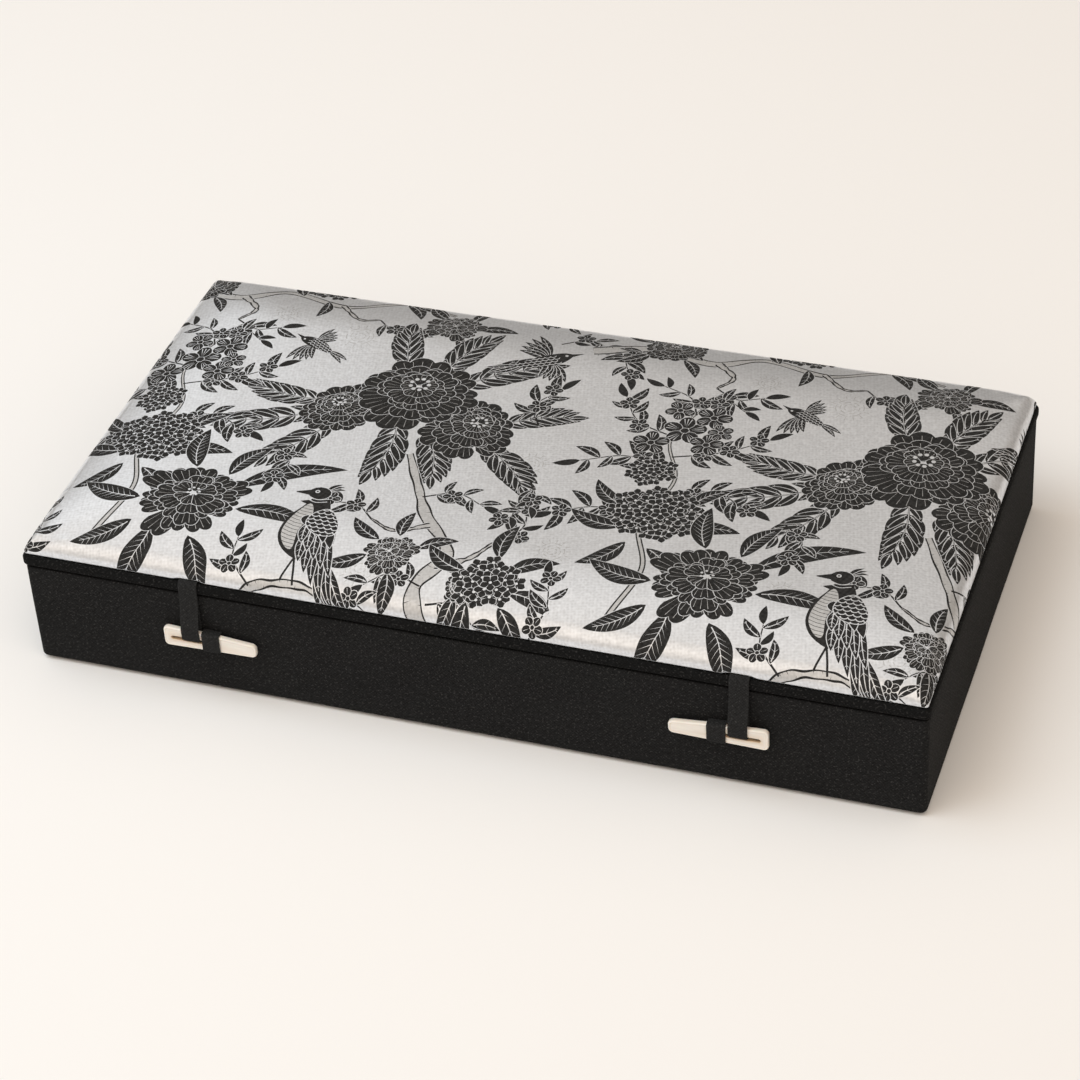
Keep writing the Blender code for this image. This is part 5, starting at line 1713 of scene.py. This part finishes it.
class CASKET_OT_keepers(bpy.types.Operator):
    """Fold the cloth rings that hold the toggles"""

    bl_idname = "casket.keepers"
    bl_label = "Keepers"

    def execute(self, context):
        """Close a rounded path round each toggle's thin end, and slant it as the toggle's edges slant."""
        look = context.scene.casket_fastening
        half, bend, gap = look.strap_cloth / 2, look.keeper_bend, look.strap_gap
        for side, sign in SIDES.items():
            low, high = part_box(f"keeper_{side}")
            toggle_low, toggle_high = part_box(f"toggle_{side}")
            length = toggle_high.x - toggle_low.x
            from_thick_end = length - (high.x - toggle_low.x if sign > 0 else toggle_high.x - low.x)
            fall, rise = look.toggle_fall / look.toggle_shoulder / length, look.toggle_rise / length
            near, far = toggle_low.y - gap - half, high.y - half
            top = toggle_high.z - fall * from_thick_end + gap + half
            bottom = toggle_low.z + rise * from_thick_end - gap - half
            path = np.vstack((
                arc((far - bend, bottom + bend), bend, 0, -90, 5),
                arc((near + bend, bottom + bend), bend, 270, 180, 5),
                straight((near, bottom + bend), (near, top - bend), 0.001),
                arc((near + bend, top - bend), bend, 180, 90, 5),
                arc((far - bend, top - bend), bend, 90, 0, 5),
                straight((far, top - bend), (far, bottom + bend), 0.001),
            ))
            piece = ribbon(f"cloth_keeper_{side}", path, high.x - low.x, look.strap_cloth,
                           (low.x + high.x) / 2, closed=True)
            points = vertex_places(piece.data)
            up = (points[:, 2] - bottom) / (top - bottom)
            inboard = sign * ((high.x if sign > 0 else low.x) - points[:, 0])
            points[:, 2] += inboard * (rise * (1 - up) - fall * up)
            piece.data.vertices.foreach_set("co", points.ravel())
            seat_piece(piece, "case", strap_cloth(), f"keeper_{side}")
        return {"FINISHED"}


class CASKET_OT_hinge(bpy.types.Operator):
    """Lay the strip of cloth that the lid turns on"""

    bl_idname = "casket.hinge"
    bl_label = "Hinge cloth"

    def execute(self, context):
        """Carry an upright line along the casket's back."""
        low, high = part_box("hinge_cloth")
        size = high - low
        middle = low.y + size.y / 2
        heights = np.linspace(low.z, high.z, 56)
        path = np.column_stack((np.full(len(heights), middle), heights))
        piece = ribbon("hinge_strip", path, size.x, size.y, 0.0, columns=97)
        seat_piece(piece, None, black_cloth(), "hinge_cloth")
        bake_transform(piece)
        return {"FINISHED"}


class CASKET_OT_felt(bpy.types.Operator):
    """Glue the felt under the tray"""

    bl_idname = "casket.felt"
    bl_label = "Base felt"

    def execute(self, context):
        """Loft a thin sheet whose edges are rounded."""
        low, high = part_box("base_sheet")
        half_x, half_y, _ = plan_of(low, high)
        height, corner, cap_inset = high.z - low.z, 0.003, 0.01
        edge = 0.3 * height
        profile = np.vstack((((cap_inset, 0.0),), arc((edge, edge), edge, 270, 180, 3),
                             arc((edge, height - edge), edge, 180, 90, 3), ((cap_inset, height),)))
        piece = lofted_pad("base_felt_sheet", profile, half_x, half_y, corner, (0, 0, low.z))
        material = cached_material("underside_felt", cloth_material, FELT_COLOUR, FELT)
        seat_piece(piece, "case", material, "base_sheet")
        return {"FINISHED"}


def upholstered_board(name, low, high, edge, up):
    """A satin-covered board: a rounded box lofted along its thin axis, its broad faces a little proud."""
    axes = ((up + 1) % 3, (up + 2) % 3, up)
    half_x, half_y, thick = (high - low)[axes[0]] / 2, (high - low)[axes[1]] / 2, (high - low)[up]
    edge = min(edge, 0.49 * thick)
    rise = 0.036 * edge
    profile = np.vstack((
        ((3 * edge, 0.0), (1.6 * edge, rise)),
        arc((edge, edge), edge, 265, 180, 4), arc((edge, thick - edge), edge, 180, 95, 4),
        ((1.6 * edge, thick - rise), (3 * edge, thick)),
    ))
    spacing = 0.005
    counts = (max(int(2 * half_x / spacing), 2), max(int(2 * half_y / spacing), 2), 4)
    middle = np.array((low + high) / 2)
    middle[up] = low[up]
    return lofted_pad(name, profile, half_x, half_y, max(edge, 0.0008), middle, counts, axes)


class CASKET_OT_lining(bpy.types.Operator):
    """Line the walls and cover the dividers with satin"""

    bl_idname = "casket.lining"
    bl_label = "Lining and dividers"

    def execute(self, context):
        """Upholster each panel along its thin axis, X or Y."""
        look = context.scene.casket_lining
        for packed, up, edge in (
            ("front_lining", 1, look.lining_edge), ("back_lining", 1, look.lining_edge),
            ("left_lining", 0, look.lining_edge), ("right_lining", 0, look.lining_edge),
            ("left_cross_divider", 0, look.divider_edge), ("right_cross_divider", 0, look.divider_edge),
            ("centre_divider", 1, look.divider_edge), ("right_divider", 1, look.divider_edge),
        ):
            piece = upholstered_board(f"satin_{packed}", *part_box(packed), edge, up)
            seat_piece(piece, "case", satin(), packed)
        return {"FINISHED"}


# The soft pads' crown: it rises from the edge as 1 - (1 - share) ** fullness over these insets
CROWN_INSETS = np.array((0.002, 0.005, 0.010, 0.018, 0.03, 0.05, 0.075))
CROWN_FULLNESS = 2.4


class CASKET_OT_soft_pads(bpy.types.Operator):
    """Make the floor pad and the pad under the lid"""

    bl_idname = "casket.soft_pads"
    bl_label = "Floor pad and lid lining"

    def execute(self, context):
        """Loft each pad from its flat side round its edge to its crown. The lid's pad hangs upside down."""
        crown, corner, cap_inset, widest_edge = context.scene.casket_lining.pad_crown, 0.003, 0.004, 0.0014
        rises = crown * (1 - (1 - CROWN_INSETS / CROWN_INSETS[-1]) ** CROWN_FULLNESS)
        for name, packed, body in (
            ("satin_floor_pad", "floor_pad", "case"), ("satin_lid_lining", "lid_lining_pad", "lid"),
        ):
            low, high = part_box(packed)
            half_x, half_y, middle = plan_of(low, high)
            height = high.z - low.z
            edge, shoulder = min(widest_edge, 0.45 * height), height - crown
            profile = np.vstack((
                ((cap_inset, 0.0),), arc((edge, edge), edge, 270, 180, 3),
                arc((edge, shoulder - edge), edge, 180, 92, 4),
                np.column_stack((edge + CROWN_INSETS, shoulder + rises)),
            ))
            if body == "lid":
                profile[:, 1] = height - profile[:, 1]
            piece = lofted_pad(name, profile, half_x, half_y, corner, (*middle, low.z))
            seat_piece(piece, body, satin(), packed)
        return {"FINISHED"}


class CASKET_OT_ring_rolls(bpy.types.Operator):
    """Stuff the ring rolls, with gathers at their ends"""

    bl_idname = "casket.ring_rolls"
    bl_label = "Ring rolls"

    def execute(self, context):
        """Turn a slack round section along X: its reach falls as a quarter circle to a pole at each end."""
        rolls = sorted(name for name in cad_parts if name.startswith("ring_roll_"))
        along, around = 56, 44
        end_length, gathers, gather_depth = 0.008, 11, 0.07
        slackness, lower_share, least = 0.012, 0.46, 0.0001
        x = 0.5 - 0.5 * np.cos(math.pi * np.linspace(0, 1, along)[:, None])
        turn = np.linspace(0, 2 * math.pi, around, endpoint=False)[None, :]
        here = np.arange(around)
        after = (here + 1) % around
        first = (along - 2) * around
        start = np.stack((np.full(around, first), after, here), -1)
        stop = np.stack((np.full(around, first + 1), here + first - around, after + first - around), -1)
        for number, packed in enumerate(rolls):
            low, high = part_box(packed)
            length, half, height = high.x - low.x, (high.y - low.y) / 2, high.z - low.z
            end = np.minimum(x, 1 - x) * length / end_length
            full = np.sqrt(1 - (1 - np.clip(end, 0, 1)) ** 2)
            gather = 1 - gather_depth * np.exp(-end) * (1 + np.cos(gathers * turn + number))
            slack = 1 + slackness * np.sin(9 * x + number) * np.sin(2 * turn)
            reach = full * gather * slack / (1 + slackness)
            lowest = lower_share * height
            y = (low.y + high.y) / 2 + half * reach * np.cos(turn)
            rise = np.where(np.sin(turn) > 0, height - lowest, lowest)
            z = np.maximum(low.z + lowest + rise * reach * np.sin(turn), low.z + least)
            points = np.stack(np.broadcast_arrays(low.x + length * x, y, z), -1)
            cloth = np.stack(np.broadcast_arrays(length * x, half * turn), -1)
            points, cloth = (np.vstack((grid[1:-1].reshape(first, -1), grid[0].mean(0), grid[-1].mean(0)))
                             for grid in (points, cloth))
            piece = make_piece(f"satin_{packed}", points, [grid_faces(along - 2, around), start, stop], cloth)
            turn_faces_out(piece)
            seat_piece(piece, "case", satin(), packed)
        return {"FINISHED"}


class CASKET_OT_boards(bpy.types.Operator):
    """Give the boards inside their fibreboard finish"""

    bl_idname = "casket.boards"
    bl_label = "Boards"

    def execute(self, context):
        """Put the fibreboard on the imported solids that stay."""
        board = cached_material("raw_fibreboard", speckled_material, *FIBREBOARD)
        for name in ("floor_board", "front_board", "back_board", "left_board", "right_board", "lid_board",
                     "pad_card"):
            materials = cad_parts[name].data.materials
            materials.clear()
            materials.append(board)
        return {"FINISHED"}


class CASKET_OT_stage(bpy.types.Operator):
    """Set the floor, the soft lights and the camera"""

    bl_idname = "casket.stage"
    bl_label = "Stage"

    def execute(self, context):
        """Lay one broad face as the floor, light the room, and place lamps, cards and camera."""
        look = context.scene.casket_stage
        corners = FLOOR_HALF * np.array(((-1, -1, 0), (1, -1, 0), (1, 1, 0), (-1, 1, 0)), float)
        floor = make_piece("studio_floor", corners, [np.array(((0, 1, 2, 3),))])
        material, _, _ = principled("studio_floor", {
            "Base Color": (*look.floor_colour, 1.0), "Roughness": 0.9, "Specular IOR Level": 0.1,
        }, look.floor_colour)
        floor.data.materials.append(material)
        context.scene.world = studio_walls(look)
        colours = {"lamp": look.light_colour, "fill": look.wall_colour, "card": look.card_colour}
        for name, bearing, height, distance, size, power, kind in STUDIO_LIGHTS:
            add_light(name, bearing, height, distance, size, power, colours[kind], kind)
        add_camera(look)
        context.scene.view_settings.view_transform = "Standard"
        return {"FINISHED"}


class CASKET_PT_panel(bpy.types.Panel):
    """Lists the casket's settings and its makers"""

    bl_idname = "CASKET_PT_panel"
    bl_label = "Jewelry Casket"
    bl_space_type = "VIEW_3D"
    bl_region_type = "UI"
    bl_category = "Casket"

    def draw(self, context):
        for name in SETTINGS:
            box = self.layout.box()
            settings = getattr(context.scene, name)
            for field in settings.bl_rna.properties:
                if field.identifier not in ("rna_type", "name"):
                    box.prop(settings, field.identifier)
        for operator in OPERATORS:
            self.layout.operator(operator.bl_idname)


SETTINGS = {
    "casket_brocade": CasketBrocadeSettings,
    "casket_cloth": CasketClothSettings,
    "casket_fastening": CasketFasteningSettings,
    "casket_lining": CasketLiningSettings,
    "casket_stage": CasketStageSettings,
}
OPERATORS = (
    CASKET_OT_stage, CASKET_OT_boards, CASKET_OT_tray_cloth, CASKET_OT_felt, CASKET_OT_lining,
    CASKET_OT_soft_pads, CASKET_OT_ring_rolls, CASKET_OT_keepers, CASKET_OT_hinge, CASKET_OT_lid_cloth,
    CASKET_OT_foam, CASKET_OT_brocade, CASKET_OT_toggles, CASKET_OT_straps,
)


def register():
    """Register the classes and hang the settings on the scene."""
    for item in (*SETTINGS.values(), *OPERATORS, CASKET_PT_panel):
        bpy.utils.register_class(item)
    for name, group in SETTINGS.items():
        setattr(bpy.types.Scene, name, PointerProperty(type=group))


def unregister():
    """Take the settings and the classes away again."""
    for name in SETTINGS:
        delattr(bpy.types.Scene, name)
    for item in reversed((*SETTINGS.values(), *OPERATORS, CASKET_PT_panel)):
        bpy.utils.unregister_class(item)


def main():
    """Register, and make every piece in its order."""
    register()
    for operator in OPERATORS:
        family, name = operator.bl_idname.split(".")
        getattr(getattr(bpy.ops, family), name)()


if __name__ == "__main__":
    main()
